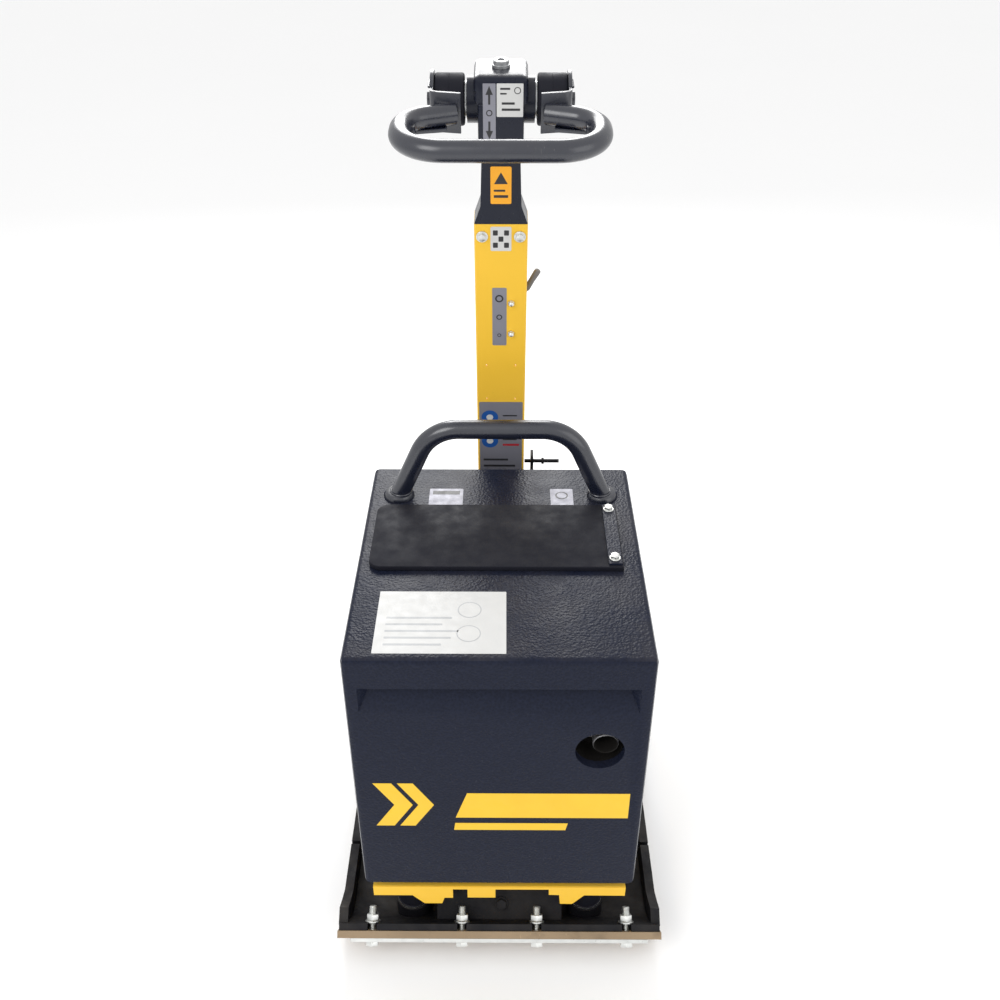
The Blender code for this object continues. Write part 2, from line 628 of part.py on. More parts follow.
def belt_loop(offset):
    """The belt's outline about both pulleys, offset from their pitch circles."""
    low, high = Vector((SHAFT_Y, SHAFT_Z)), Vector((CRANK_Y, CRANK_Z))
    small, large = EXCITER_PITCH + offset, CLUTCH_PITCH + offset
    apart = high - low
    along = math.atan2(apart.y, apart.x)
    spread = math.acos((small - large) / apart.length)
    loop = []
    for centre, radius, start, end in ((high, large, -spread, spread), (low, small, spread,
                                                                        2 * math.pi - spread)):
        steps = 18
        for step in range(steps + 1):
            angle = along + start + (end - start) * step / steps
            loop.append((centre.x + radius * math.cos(angle), centre.y + radius * math.sin(angle)))
    return loop


def make_belt():
    flat_shape("v_belt", [belt_loop(BELT_OUT), belt_loop(-BELT_IN)], 2 * BELT_HALF, (BELT_X, 0, 0), TO_X,
               "rubber")


def make_fan_cowl():
    """The flywheel's cover with the recoil starter's hub, open towards the engine."""
    outer, inner, end, mouth = 0.116, 0.112, -0.167, -0.0880
    cowl = turned("fan_cowl",
                  [(0.0, end - 0.010), (0.055, end - 0.010), (0.062, end), (outer, end + 0.012), (outer,
                                                                                                  mouth),
                   (inner, mouth), (inner, end + 0.016), (0.060, end + 0.004), (0.0, end + 0.004)][::-1],
                  (0, CRANK_Y, CRANK_Z), TO_X, "black_plastic", steps=28)
    cut(cowl, cylinder("rope_hole", 0.005, (STARTER_X, CRANK_Y + 0.02, STARTER_Z), 0.08, TO_Y, sides=12))


def make_starter_grip():
    """The recoil starter's T grip behind the hood with the straight stretch of rope it pulls out."""
    grip_y = HOOD_REAR + 0.0105
    grip = box("starter_grip", (STARTER_X - 0.034, grip_y, STARTER_Z - 0.011),
               (STARTER_X + 0.034, grip_y + 0.020, STARTER_Z + 0.011), "black_plastic", round_edges=0.006)
    join(grip, cylinder("grip_neck", 0.009, (STARTER_X, grip_y - 0.010, STARTER_Z), 0.015, TO_Y, sides=16,
                        end_radius=0.012))
    join(grip, cylinder("rope", ROPE_RADIUS, (STARTER_X, ROPE_START, STARTER_Z),
                        grip_y - 0.008 - ROPE_START, TO_Y, sides=10))


def make_fuel_tank():
    low, high = (-0.165, -0.105, 0.525), (0.105, 0.125, 0.590)
    tank = box("fuel_tank", low, high, "black_plastic", round_edges=0.012)
    join(tank, cylinder("filler_neck", 0.024, (FILLER_X, FILLER_Y, high[2] - 0.004), 0.012))
    cut(tank, cylinder("filler_mouth", 0.018, (FILLER_X, FILLER_Y, high[2] - 0.030), 0.05))
    turned("fuel_cap",
           [(0, 0.020), (0.026, 0.020), (0.029, 0.017), (0.029, 0), (0.0165, 0), (0.0165, -0.010), (0,
                                                                                                    -0.010)],
           (FILLER_X, FILLER_Y, high[2] + 0.008 + GAP), finish="black_plastic", steps=24)


def make_air_filter():
    drum = cylinder("air_filter", 0.042, (-0.168, -0.178, 0.430), 0.105, TO_X, "black_plastic")
    join(drum, cylinder("intake", 0.017, (-0.075, -0.178, 0.430), 0.034, TO_X, sides=20))


def make_muffler():
    muffler = cylinder("muffler", 0.048, (-0.015, -0.182, 0.455), 0.185, TO_X, "cast_metal")
    add_bevel(muffler, 0.006)
    join(muffler, cylinder("exhaust_manifold", 0.016, (0.020, -0.150, 0.455), 0.1245, TO_Y, sides=20))


def make_exhaust_pipe():
    back, front = -0.2303, HOOD_FRONT + 0.007
    length = back - front
    inner = PIPE_RADIUS - 0.003
    profile = [(PIPE_RADIUS, length), (PIPE_RADIUS, 0.003), (0.026, 0.003), (0.026, 0), (inner, 0),
               (inner, length)]
    turned("exhaust_pipe", profile, (PIPE_X, back, PIPE_Z), TO_XZ, "cast_metal", ring=True)


# ---------------------------------------------------------------- hood and what stands on it

def groove_outline(grow):
    """The grip recess under the fascia in side view; grow moves its walls by the sheet's thickness."""
    mouth = HOOD_FRONT - 0.010
    slope = (GROOVE_TOP - 0.006 - GROOVE_BOTTOM) / GROOVE_DEPTH
    return [(mouth, GROOVE_TOP + grow), (HOOD_FRONT + GROOVE_DEPTH + grow, GROOVE_TOP + grow),
            (HOOD_FRONT + GROOVE_DEPTH + grow, GROOVE_TOP - 0.006 - grow * 0.3),
            (HOOD_FRONT, GROOVE_BOTTOM - grow * 1.4), (mouth, GROOVE_BOTTOM - grow * 1.4 - 0.010 * slope)]


def make_groove(name, grow):
    """The recess's solid, cut back at both ends by slanting facets."""
    half = HOOD_HALF - 0.010 + grow
    groove = flat_shape(name, [groove_outline(grow)], 2 * half, (0, 0, 0), TO_X)
    for side in (-1, 1):
        facet = [(side * (half - 0.026), HOOD_FRONT + GROOVE_DEPTH + grow + 0.0015),
                 (side * (half + 0.004), HOOD_FRONT + GROOVE_DEPTH + grow + 0.0015),
                 (side * (half + 0.004), HOOD_FRONT - 0.012),
                 (side * (half + 0.0005), HOOD_FRONT - 0.012)]
        cut(groove, flat_shape("groove_end", [facet], 0.30, (0, 0, GROOVE_TOP), UPRIGHT))
    return groove


def make_hood():
    low, high = Vector((-HOOD_HALF, HOOD_FRONT, HOOD_BOTTOM)), Vector((HOOD_HALF, HOOD_REAR, HOOD_TOP))
    wall = Vector((HOOD_WALL, HOOD_WALL, HOOD_WALL))
    hood = box("hood", low, high, "hood_paint", round_edges=0.008)
    lower = Vector((wall.x, wall.y, -0.03))
    cavity = box("hood_cavity", low + lower, high - wall, round_edges=0.005)
    cut(cavity, make_groove("groove_inside", HOOD_WALL))
    cut(hood, make_groove("groove", 0.0))
    join(hood, cylinder("exhaust_collar", EXHAUST_HOLE + HOOD_WALL,
                        (EXHAUST_X, HOOD_FRONT + 0.0015, EXHAUST_Z), 0.012, TO_Y, sides=40))
    cut(cavity, cylinder("collar_room", EXHAUST_HOLE + HOOD_WALL - 0.0001,
                         (EXHAUST_X, HOOD_FRONT + 0.0012, EXHAUST_Z), 0.0118, TO_Y, sides=40))
    cut(hood, cavity)
    cut(hood, cylinder("exhaust_hole", EXHAUST_HOLE, (EXHAUST_X, HOOD_FRONT - 0.01, EXHAUST_Z), 0.04, TO_Y,
                       sides=40))
    cut(hood, box("filler_access", (-0.145, -0.070, HOOD_TOP - 0.02), (0.120, 0.040, HOOD_TOP + 0.01)))
    cut(hood, cylinder("rope_exit", 0.0065, (STARTER_X, HOOD_REAR - 0.02, STARTER_Z), 0.04, TO_Y, sides=16))
    for row in range(6):
        z = 0.300 + row * 0.022
        cut(hood, box("rear_vent", (-0.060, HOOD_REAR - 0.02, z), (0.140, HOOD_REAR + 0.01, z + 0.009)))
        for side in (-1, 1):
            inner, outer = sorted((side * (HOOD_HALF - 0.02), side * (HOOD_HALF + 0.01)))
            cut(hood, box("side_vent", (inner, -0.060, z), (outer, 0.120, z + 0.009)))
    for y in FLAP_BOLTS_Y.values():
        cut(hood, cylinder("flap_bolt_hole", 0.0042, (FLAP_BOLT_X, y, HOOD_TOP - 0.01), 0.02, sides=16))


def make_lifting_bow():
    inset = BOW_RISE / math.tan(BOW_LEG_ANGLE)
    foot, top = HOOD_TOP + GAP, HOOD_TOP + BOW_RISE
    corners = [(-BOW_HALF - 0.01, BOW_Y, foot - 0.01 * math.tan(BOW_LEG_ANGLE)), (-BOW_HALF + inset,
                                                                                  BOW_Y, top),
               (BOW_HALF - inset, BOW_Y, top), (BOW_HALF + 0.01, BOW_Y,
                                                foot - 0.01 * math.tan(BOW_LEG_ANGLE))]
    bow = tube("lifting_bow", filleted(corners, [0, BOW_BEND, BOW_BEND, 0], 6), BOW_RADIUS, "hood_paint")
    for side in (-1, 1):
        join(bow, cylinder("bow_collar", 0.0235, (side * BOW_HALF, BOW_Y, foot - 0.004), 0.012, sides=20,
                           end_radius=0.0200))
    cut(bow, box("bow_foot_cut", (-0.3, 0, foot - 0.1), (0.3, 0.2, foot)))


def flap_bottom():
    return HOOD_TOP + GAP


def make_flap():
    """The rubber flap over the filler: its clamped root, and the part that lifts."""
    bottom, front, back = flap_bottom(), FLAP_FRONT, FLAP_BACK
    split = FLAP_HINGE_X
    root = box("flap_root", (split + 0.0006, front, bottom), (FLAP_RIGHT, back, bottom + FLAP_THICK),
               "rubber")
    outline = filleted([(FLAP_LEFT, front), (split - 0.0006, front), (split - 0.0006, back),
                        (FLAP_LEFT, back)], [0.018, 0, 0, 0.018], 4, closed=True)
    flat_shape("rubber_flap", [outline], FLAP_THICK, (0, 0, bottom + FLAP_THICK / 2), UPRIGHT, "rubber")
    top = bottom + FLAP_THICK + GAP
    strip = box("flap_clamp_strip", (FLAP_HINGE_X + 0.003, front + 0.004, top),
                (FLAP_RIGHT - 0.002, back - 0.004, top + 0.003), "hood_paint")
    for name, y in FLAP_BOLTS_Y.items():
        cut(root, cylinder("root_hole", 0.0042, (FLAP_BOLT_X, y, bottom - 0.01), 0.03, sides=16))
        cut(strip, cylinder("strip_bolt_hole", 0.0042, (FLAP_BOLT_X, y, bottom - 0.01), 0.04, sides=16))
        head = top + 0.003 + GAP
        bolt = cylinder(f"flap_bolt_{name}", 0.0068, (FLAP_BOLT_X, y, head + 0.001), 0.005, finish="zinc",
                        sides=6)
        join(bolt, cylinder("bolt_flange", 0.0080, (FLAP_BOLT_X, y, head), 0.0015, sides=20))
        join(bolt, cylinder("bolt_shank", 0.0035, (FLAP_BOLT_X, y, HOOD_TOP - 0.010),
                            head + 0.003 - HOOD_TOP + 0.010, sides=12))


# ---------------------------------------------------------------- drawbar

def make_pivot_pin():
    half = EAR_OUT + 0.001
    turned("drawbar_pivot_pin",
           [(0, half + 0.006), (0.015, half + 0.006), (0.015, half), (PIVOT_RADIUS, half),
            (PIVOT_RADIUS, -half), (0.015, -half), (0.015, -half - 0.006), (0, -half - 0.006)],
           PIVOT, TO_X, "steel", steps=24)


def make_latch():
    """The transport latch: an upright plate beside the drawbar, and the pin that slides in it.

    The pin is drawn back, so that the drawbar is free to tilt.
    """
    low, high = LATCH_PLATE_X
    corners = [(0.195, DECK_TOP + GAP), (0.240, DECK_TOP + GAP), (LATCH_Y + 0.016, 0.560),
               (LATCH_Y + 0.016, 0.602), (LATCH_Y - 0.014, 0.602), (LATCH_Y - 0.018, 0.540), (0.195, 0.220)]
    outline = filleted(corners, [0, 0, 0, 0.008, 0.008, 0, 0], 3, closed=True)
    plate = flat_shape("latch_bracket", [outline, circle(LATCH_Y, LATCH_Z, LATCH_RADIUS + 2 * GAP, 16)],
                       high - low, ((low + high) / 2, 0, 0), TO_X, "black_cast")
    join(plate, box("bracket_foot", (low + 0.001, 0.197, DECK_TOP + GAP), (0.090, 0.238, DECK_TOP + 0.006)))
    tip, end = DRAWBAR_HALF + 0.0012, 0.098
    pin = cylinder("latch_pin", LATCH_RADIUS, (tip, LATCH_Y, LATCH_Z), end - tip, TO_X, "black_cast",
                   sides=16)
    join(pin, cylinder("latch_stop", 0.0055, (high + 0.014, LATCH_Y, LATCH_Z), 0.004, TO_X, sides=16))


def make_channel():
    """The folded drawbar: a channel open to the rear, with a bushed foot for the pivot."""
    wall = DRAWBAR_WALL
    section = [(-DRAWBAR_HALF, DRAWBAR_FRONT), (DRAWBAR_HALF, DRAWBAR_FRONT), (DRAWBAR_HALF, DRAWBAR_BACK),
               (DRAWBAR_HALF - wall, DRAWBAR_BACK), (DRAWBAR_HALF - wall, DRAWBAR_FRONT + wall),
               (-DRAWBAR_HALF + wall, DRAWBAR_FRONT + wall), (-DRAWBAR_HALF + wall, DRAWBAR_BACK),
               (-DRAWBAR_HALF, DRAWBAR_BACK)]
    radii = [0.004, 0.004, 0, 0, 0, 0, 0, 0]
    height = DRAWBAR_HEAD - DRAWBAR_FOOT
    outline = filleted(section, radii, 3, closed=True)
    channel = flat_shape("drawbar_channel", [outline], height, (0, 0, (DRAWBAR_HEAD + DRAWBAR_FOOT) / 2),
                         UPRIGHT, "yellow_paint", drawbar_frame)
    join(channel, cylinder("pivot_bush", 0.017, (-DRAWBAR_HALF + 0.001, 0, 0), 2 * DRAWBAR_HALF - 0.002,
                           TO_X, frame=drawbar_frame, sides=24))
    cut(channel, cylinder("pivot_bore", PIVOT_RADIUS + 2 * GAP, (-0.05, 0, 0), 0.1, TO_X,
                          frame=drawbar_frame, sides=24))
    for x in (-0.0225, 0.0225):
        for z in (0.4762, 0.5394):
            cut(channel, cylinder("label_hole", 0.0016, (x, DRAWBAR_FRONT - 0.005, z), 0.012, TO_Y,
                                  frame=drawbar_frame, sides=10))
    for z in THROTTLE_NUTS.values():
        cut(channel, cylinder("stud_hole", 0.0035, (THROTTLE_X, DRAWBAR_FRONT - 0.005, z), 0.012, TO_Y,
                              frame=drawbar_frame, sides=12))
    for x in HEAD_BOLTS_X.values():
        cut(channel, cylinder("head_bolt_hole", 0.0046, (x, DRAWBAR_FRONT - 0.005, HEAD_BOLT_Z), 0.012,
                              TO_Y, frame=drawbar_frame, sides=16))
    cut(channel, box("lever_slot", (0.030, -0.010, THROTTLE_Z - 0.034), (0.050, 0.040, THROTTLE_Z + 0.058),
                     frame=drawbar_frame))
    latch = drawbar_local(Vector((0.0, LATCH_Y, LATCH_Z)))
    cut(channel, cylinder("latch_hole", LATCH_HOLE, (0.030, latch.y, latch.z), 0.02, TO_X, frame=drawbar_frame,
                          sides=16))


def drawbar_local(point):
    """A world point in the drawbar's own frame."""
    return Matrix.Rotation(-DRAWBAR_LEAN, 3, "X") @ (point - PIVOT)


def make_control_head():
    """The head casting: a plug in the channel, a flared neck, and the block that the bow turns in."""
    foot = DRAWBAR_HEAD + GAP
    half = DRAWBAR_HALF
    flare = (half - 0.0005, DRAWBAR_FRONT + 0.0002, DRAWBAR_BACK - 0.001)
    head = box("control_head", (-flare[0], flare[1], foot), (flare[0], flare[2], foot + 0.026),
               "hood_paint", drawbar_frame, top_scale=(0.76, 0.98))
    neck = box("neck", (-0.0290, -0.0195, foot + 0.020), (0.0290, 0.0235, 0.890), frame=drawbar_frame,
               top_scale=(0.90, 1.0))
    block = box("head_block", (-0.0305, -0.033, 0.880), (0.0305, 0.038, 0.962), frame=drawbar_frame,
                round_edges=0.004)
    cap = box("head_cap", (-0.0355, -0.036, 0.946), (0.0355, 0.041, HEAD_TOP), frame=drawbar_frame,
              round_edges=0.008)
    plug = box("head_plug", (-half + DRAWBAR_WALL + 0.001, DRAWBAR_FRONT + DRAWBAR_WALL + GAP, 0.715),
               (half - DRAWBAR_WALL - 0.001, 0.020, foot + 0.005), frame=drawbar_frame)
    boss = cylinder("cross_boss", 0.030, (-BOSS_END, CROSS_Y, CROSS_Z), 2 * BOSS_END, TO_X,
                    frame=drawbar_frame, sides=24)
    join(head, neck, block, cap, plug, boss)
    cut(head, cylinder("cross_bore", CROSS_RADIUS + 2 * GAP, (-0.06, CROSS_Y, CROSS_Z), 0.12, TO_X,
                       frame=drawbar_frame, sides=24))
    cut(head, cylinder("filler_bore", 0.0078, (0, 0, HEAD_TOP - 0.013), 0.03, frame=drawbar_frame,
                       sides=20))
    for x in HEAD_BOLTS_X.values():
        cut(head, cylinder("bolt_bore", 0.0046, (x, DRAWBAR_FRONT - 0.005, HEAD_BOLT_Z), 0.034, TO_Y,
                           frame=drawbar_frame, sides=16))


def make_head_fasteners():
    base = HEAD_TOP + GAP
    turned("filler_plug",
           [(0, 0.004), (0.0052, 0.004), (0.0052, 0.0093), (0.0098, 0.0093), (0.0105, 0.0085), (0.0105,
                                                                                                0.0040),
            (0.0118, 0.0035), (0.0118, 0), (0.0072, 0), (0.0072, -0.0100), (0, -0.0100)],
           (0, 0, base), finish="cast_metal", frame=drawbar_frame, steps=24)
    for name, x in HEAD_BOLTS_X.items():
        front = DRAWBAR_FRONT - GAP
        bolt = cylinder(f"drawbar_bolt_{name}", 0.0085, (x, front - 0.0022, HEAD_BOLT_Z), 0.0022, TO_Y,
                        "zinc", drawbar_frame, sides=24)
        join(bolt, cylinder("bolt_cap", 0.0052, (x, front - 0.006, HEAD_BOLT_Z), 0.005, TO_Y,
                            frame=drawbar_frame, sides=16))
        join(bolt, cylinder("bolt_stem", 0.0038, (x, front - 0.001, HEAD_BOLT_Z), 0.028, TO_Y,
                            frame=drawbar_frame, sides=12))


def make_throttle():
    """The quadrant behind the drawbar's face, its two cap nuts, and the lever that turns on it."""
    behind = -0.0100
    quadrant = box("throttle_quadrant", (-0.012, behind, 0.582), (0.0335, behind + 0.003, 0.666), "steel",
                   drawbar_frame)
    join(quadrant, cylinder("lever_stud", 0.004, (THROTTLE_X, behind + 0.001, THROTTLE_Z), 0.016, TO_Y,
                            frame=drawbar_frame, sides=16))
    for name, z in THROTTLE_NUTS.items():
        stud_front = DRAWBAR_FRONT - 0.004
        join(quadrant, cylinder("stud", 0.0029, (THROTTLE_X, stud_front, z), behind + 0.001 - stud_front,
                                TO_Y, frame=drawbar_frame, sides=12))
        turned(f"throttle_nut_{name}",
               [(0, 0.0075), (0.0026, 0.0070), (0.0044, 0.0050), (0.0052, 0.0035), (0.0052, 0), (0.0034, 0),
                (0.0034, 0.0048), (0, 0.0048)],
               (THROTTLE_X, DRAWBAR_FRONT - GAP, z), TO_XZ, "zinc", drawbar_frame, steps=16)
    lever = turned("throttle_lever", [(0.0044, 0.0075), (0.009, 0.0075), (0.009, 0), (0.0044, 0)],
                   (0, 0, 0), TO_XZ, "grey_grip", throttle_frame, steps=20, ring=True)
    join(lever, box("lever_arm", (0.0062, -0.0055, -0.0035), (0.052, -0.0020, 0.0035),
                    frame=throttle_frame))
    join(lever, cylinder("lever_grip", 0.0050, (0.045, -0.0038, 0), 0.037, TO_X, frame=throttle_frame,
                         sides=16))


# ---------------------------------------------------------------- travel bow

def make_cross_shaft():
    half, flange = RUBBER_OUT - GAP, RUBBER_IN - GAP
    inner = BOSS_END + GAP
    turned("cross_shaft",
           [(0, half), (CROSS_RADIUS, half), (CROSS_RADIUS, flange), (0.024, flange), (0.024, inner),
            (CROSS_RADIUS, inner), (CROSS_RADIUS, -inner), (0.024, -inner), (0.024, -flange),
            (CROSS_RADIUS, -flange), (CROSS_RADIUS, -half), (0, -half)],
           (0, CROSS_Y, CROSS_Z), TO_X, "steel", drawbar_frame, steps=20)


def make_handle_rubber(name, side):
    low, high = sorted((side * RUBBER_IN, side * RUBBER_OUT))
    middle, half = (low + high) / 2, (high - low) / 2
    bore = CROSS_RADIUS + 2 * GAP
    turned(name, [(bore, half), (RUBBER_RADIUS - 0.001, half), (RUBBER_RADIUS, half - 0.002),
                  (RUBBER_RADIUS, -half + 0.002), (RUBBER_RADIUS - 0.001, -half), (bore, -half)],
           (middle, CROSS_Y, CROSS_Z), TO_X, "rubber", drawbar_frame, ring=True)


def make_handle_bow():
    """The D-shaped tube with a wrapped bracket at each end, outside the rubber cylinders."""
    front = CROSS_Y - HANDLE_REACH
    arm_end, arm_corner = (0.060, CROSS_Y - 0.052), (HANDLE_HALF, CROSS_Y - 0.076)
    half_path = [(*arm_end, CROSS_Z), (*arm_corner, CROSS_Z), (HANDLE_HALF, front, CROSS_Z)]
    corners = [(-x, y, z) for x, y, z in half_path] + half_path[::-1]
    path = filleted(corners, [0, 0.045, 0.058, 0.058, 0.045, 0], 6)
    bow = tube("handle_bow", path, HANDLE_RADIUS, "hood_paint", drawbar_frame)
    plate = 0.005
    face = RUBBER_OUT + GAP
    for side in (-1, 1):
        low = min(side * face, side * (face + plate))
        join(bow, cylinder("end_disc", 0.037, (low, CROSS_Y, CROSS_Z), plate, TO_X, frame=drawbar_frame,
                           sides=24))
        outer = [(face + plate - 0.0005, CROSS_Y - 0.004), (face + plate - 0.0005, CROSS_Y - 0.047),
                 (0.052, CROSS_Y - 0.054), (0.052, CROSS_Y - 0.048)]
        inner = [(face + 0.0005, CROSS_Y - 0.041), (face + 0.0005, CROSS_Y - 0.004)]
        outline = filleted(outer + inner, [0, 0.012, 0, 0, 0.006, 0], 4, closed=True)
        wrap = [(side * x, y) for x, y in outline]
        join(bow, flat_shape("wrap_plate", [wrap], 0.052, (0, 0, CROSS_Z), UPRIGHT, frame=drawbar_frame))
        join(bow, box("wrap_back", sorted_corner(side, 0.064, 0.0885, -0.0400, -0.0345),
                      sorted_corner(side, 0.064, 0.0885, -0.0400, -0.0345,
                                    upper=True), frame=drawbar_frame))


def sorted_corner(side, near, far, front, back, upper=False):
    """One corner of the small block that ties the wrapped plate to the disc's rim."""
    xs = sorted((side * near, side * far))
    rise = 0.012 if upper else -0.012
    return (xs[1] if upper else xs[0], back if upper else front, CROSS_Z + rise)


# ---------------------------------------------------------------- the whole machine

clear_scene()
parts = new_collection("plate_compactor")
tools = new_collection("cutters")
materials = {name: make_material(name) for name in FINISHES}

lip_start = (0.0, -(FLAT_HALF + LIP_RADIUS * math.sin(LIP_ANGLE)), LIP_RADIUS * (1 - math.cos(LIP_ANGLE)))
lip_frame = new_frame("lip_frame", lip_start, (-LIP_ANGLE, 0.0, 0.0))
drawbar_frame = new_frame("drawbar_frame", PIVOT, (DRAWBAR_LEAN, 0.0, 0.0))
throttle_frame = new_frame("throttle_frame", (THROTTLE_X, 0.0010, THROTTLE_Z), (0.0, -THROTTLE_ANGLE, 0.0),
                           drawbar_frame)

make_sole_mat()
make_base_plate()
make_mat_clamp()
make_drain_plug()
make_exciter_housing()
make_exciter_cover("exciter_cover_left", -1)
make_exciter_cover("exciter_cover_right", 1)
make_eccentric_shaft("eccentric_shaft_front", -SHAFT_Y, EXCITER_HALF + 0.001)
make_eccentric_shaft("eccentric_shaft_rear", SHAFT_Y, 0.166)
make_exciter_gear("exciter_gear_front", -SHAFT_Y, 0.0)
make_exciter_gear("exciter_gear_rear", SHAFT_Y, 0.5)
make_exciter_pulley()
make_rubber_buffers()

make_console()
make_crankcase()
make_cylinder()
make_crankshaft()
make_clutch_drum()
make_belt()
make_fan_cowl()
make_starter_grip()
make_fuel_tank()
make_air_filter()
make_muffler()
make_exhaust_pipe()

make_hood()
make_lifting_bow()
make_flap()

make_pivot_pin()
make_latch()
make_channel()
make_control_head()
make_head_fasteners()
make_throttle()
make_cross_shaft()
make_handle_rubber("handle_rubber_left", -1)
make_handle_rubber("handle_rubber_right", 1)
make_handle_bow()
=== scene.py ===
"""Looks for a reversible plate compactor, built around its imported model."""

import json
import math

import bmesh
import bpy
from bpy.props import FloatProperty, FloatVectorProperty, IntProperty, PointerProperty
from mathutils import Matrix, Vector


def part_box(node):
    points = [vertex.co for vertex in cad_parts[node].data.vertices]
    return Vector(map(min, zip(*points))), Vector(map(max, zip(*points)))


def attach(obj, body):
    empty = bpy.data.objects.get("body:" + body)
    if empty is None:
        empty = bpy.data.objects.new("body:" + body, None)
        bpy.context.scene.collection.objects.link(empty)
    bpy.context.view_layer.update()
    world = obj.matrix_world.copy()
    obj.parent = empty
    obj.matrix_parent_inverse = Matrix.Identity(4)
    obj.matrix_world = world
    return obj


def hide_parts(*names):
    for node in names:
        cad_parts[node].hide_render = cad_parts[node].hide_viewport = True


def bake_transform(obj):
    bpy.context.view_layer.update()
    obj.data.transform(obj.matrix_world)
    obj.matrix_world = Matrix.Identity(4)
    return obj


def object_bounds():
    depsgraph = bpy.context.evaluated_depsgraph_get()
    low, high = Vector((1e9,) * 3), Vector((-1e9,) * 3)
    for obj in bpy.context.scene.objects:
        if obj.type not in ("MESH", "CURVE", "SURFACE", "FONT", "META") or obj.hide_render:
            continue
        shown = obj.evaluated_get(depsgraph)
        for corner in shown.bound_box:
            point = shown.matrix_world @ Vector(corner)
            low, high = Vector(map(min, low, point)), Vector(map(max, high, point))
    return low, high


bl_info = {
    "name": "Plate compactor",
    "version": (1, 0, 0),
    "blender": (4, 5, 0),
    "location": "View3D > Sidebar > Compactor",
    "description": "Builds the finished surfaces, fittings and stage of a plate compactor",
    "category": "Object",
}

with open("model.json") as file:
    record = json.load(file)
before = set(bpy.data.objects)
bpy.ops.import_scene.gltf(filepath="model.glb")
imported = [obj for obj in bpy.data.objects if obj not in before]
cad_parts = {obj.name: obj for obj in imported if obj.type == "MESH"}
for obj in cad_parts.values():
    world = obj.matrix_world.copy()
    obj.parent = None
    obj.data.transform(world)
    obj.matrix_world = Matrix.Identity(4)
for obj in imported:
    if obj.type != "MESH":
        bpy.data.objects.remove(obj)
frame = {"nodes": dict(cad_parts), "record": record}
CAD_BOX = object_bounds()
RECORD = frame["record"]
BODY_OF = {node: body for body, nodes in RECORD["behaviour"]["bodies"].items() for node in nodes}
SLOT_OF = {part["node"]: part["material_slot"] for part in RECORD["subparts"]}
JOINTS = {joint["name"]: joint for joint in RECORD["behaviour"]["joints"]}

PIVOT = Vector(JOINTS["drawbar_tilt"]["pos_m"])
THROTTLE_AXIS = Vector(JOINTS["throttle_turn"]["axis"])
LEAN = math.atan2(THROTTLE_AXIS.z, THROTTLE_AXIS.y)
DRAWBAR = Matrix.Translation(PIVOT) @ Matrix.Rotation(LEAN, 4, "X")
CROSS = DRAWBAR.inverted() @ Vector(JOINTS["travel_lever_swing"]["pos_m"])
HOOD_LOW, HOOD_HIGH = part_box("hood")
FACE_FRONT = Matrix.Rotation(math.radians(90), 4, "X")     # a flat outline stands up, facing -Y
FACE_RIGHT = Matrix(((0, 0, 1, 0), (1, 0, 0, 0), (0, 1, 0, 0), (0, 0, 0, 1)))    # +Z turns onto +X
ROUND = 48

CLAMP_BOLTS_X = (-0.197, -0.058, 0.058, 0.197)
LIP_FOLD = Matrix.Translation((0, -0.26071, 0.02929)) @ Matrix.Rotation(math.radians(-45), 4, "X")
LIP_REACH = 0.040
PLATE_TOP = 0.021
EXHAUST_SHADE_CUP = (0.136, -0.2250, 0.460)    # the middle of the closed end of the near-black cup that paints shade behind the exhaust hole

FLOOR_HALF = 40.0
WORLD_LIGHT = 0.96
LAMPS = (("key", (-1.7, -2.2, 3.0), 1.8, 38.0),    # name, place, side in metres, watts
         ("fill", (2.4, -1.6, 1.8), 2.2, 12.0),
         ("back", (-0.15, 2.0, 1.9), 1.2, 34.0))
LAMPS_AIM = Vector((0, 0, 0.5))
LENS, SENSOR = 37.94, 36.0
CAMERA_PLACE = (0.006, -1.250, 1.549)
CAMERA_TURN = (math.radians(55.3), 0.0, math.radians(0.29))

FINISH = {}


# ---------------------------------------------------------------- settings

def colour(name, description, default):
    return FloatVectorProperty(name=name, description=description, default=default, size=3,
                               min=0.0, max=1.0, subtype="COLOR")


def length(name, description, default, high=0.1):
    return FloatProperty(name=name, description=description, default=default, min=0.0, max=high,
                         unit="LENGTH", precision=4)


class CompactorColours(bpy.types.PropertyGroup):
    yellow: colour("Drawbar yellow", "Powder coat on the drawbar and the console", (0.86, 0.52, 0.045))
    hood: colour("Hood", "Hammered paint on the hood and the bows", (0.0078, 0.0100, 0.0205))
    mat: colour("Sole mat", "Polyurethane sheet under the plate", (0.31, 0.225, 0.14))
    cast: colour("Plate", "Paint over the cast plate", (0.0075, 0.0073, 0.0095))
    rubber: colour("Rubber", "Flap, handle cylinders, buffers and belt", (0.0100, 0.0105, 0.0160))
    label: colour("Label silver", "Foil of the metal labels", (0.25, 0.25, 0.29))
    dust: colour("Dust", "Dry soil on faces that look up", (0.30, 0.26, 0.21))


class CompactorSizes(bpy.types.PropertyGroup):
    hammer: length("Hammer grain", "Size of the dimples in the hood's paint", 0.0034, 0.02)
    sheet_edge: length("Sheet edge", "Rounding on folded and cut sheet", 0.0009, 0.005)
    casting_edge: length("Casting edge", "Rounding on cast edges", 0.0018, 0.006)
    lifting_tube: length("Lifting tube", "Radius of the lifting bow's tube", 0.0145)
    handle_tube: length("Handle tube", "Radius of the travel bow's tube", 0.0140)
    handle_rubber: length("Handle rubber", "Radius of the rubber cylinders", 0.0335)
    label_thick: length("Label thickness", "How far a label stands off", 0.0003, 0.002)
    tube_sides: IntProperty(name="Tube sides", description="Sides of every tube", default=40, min=12,
                            max=96)


def sizes():
    return bpy.context.scene.compactor_sizes


def colours():
    return bpy.context.scene.compactor_colours


# ---------------------------------------------------------------- surfaces

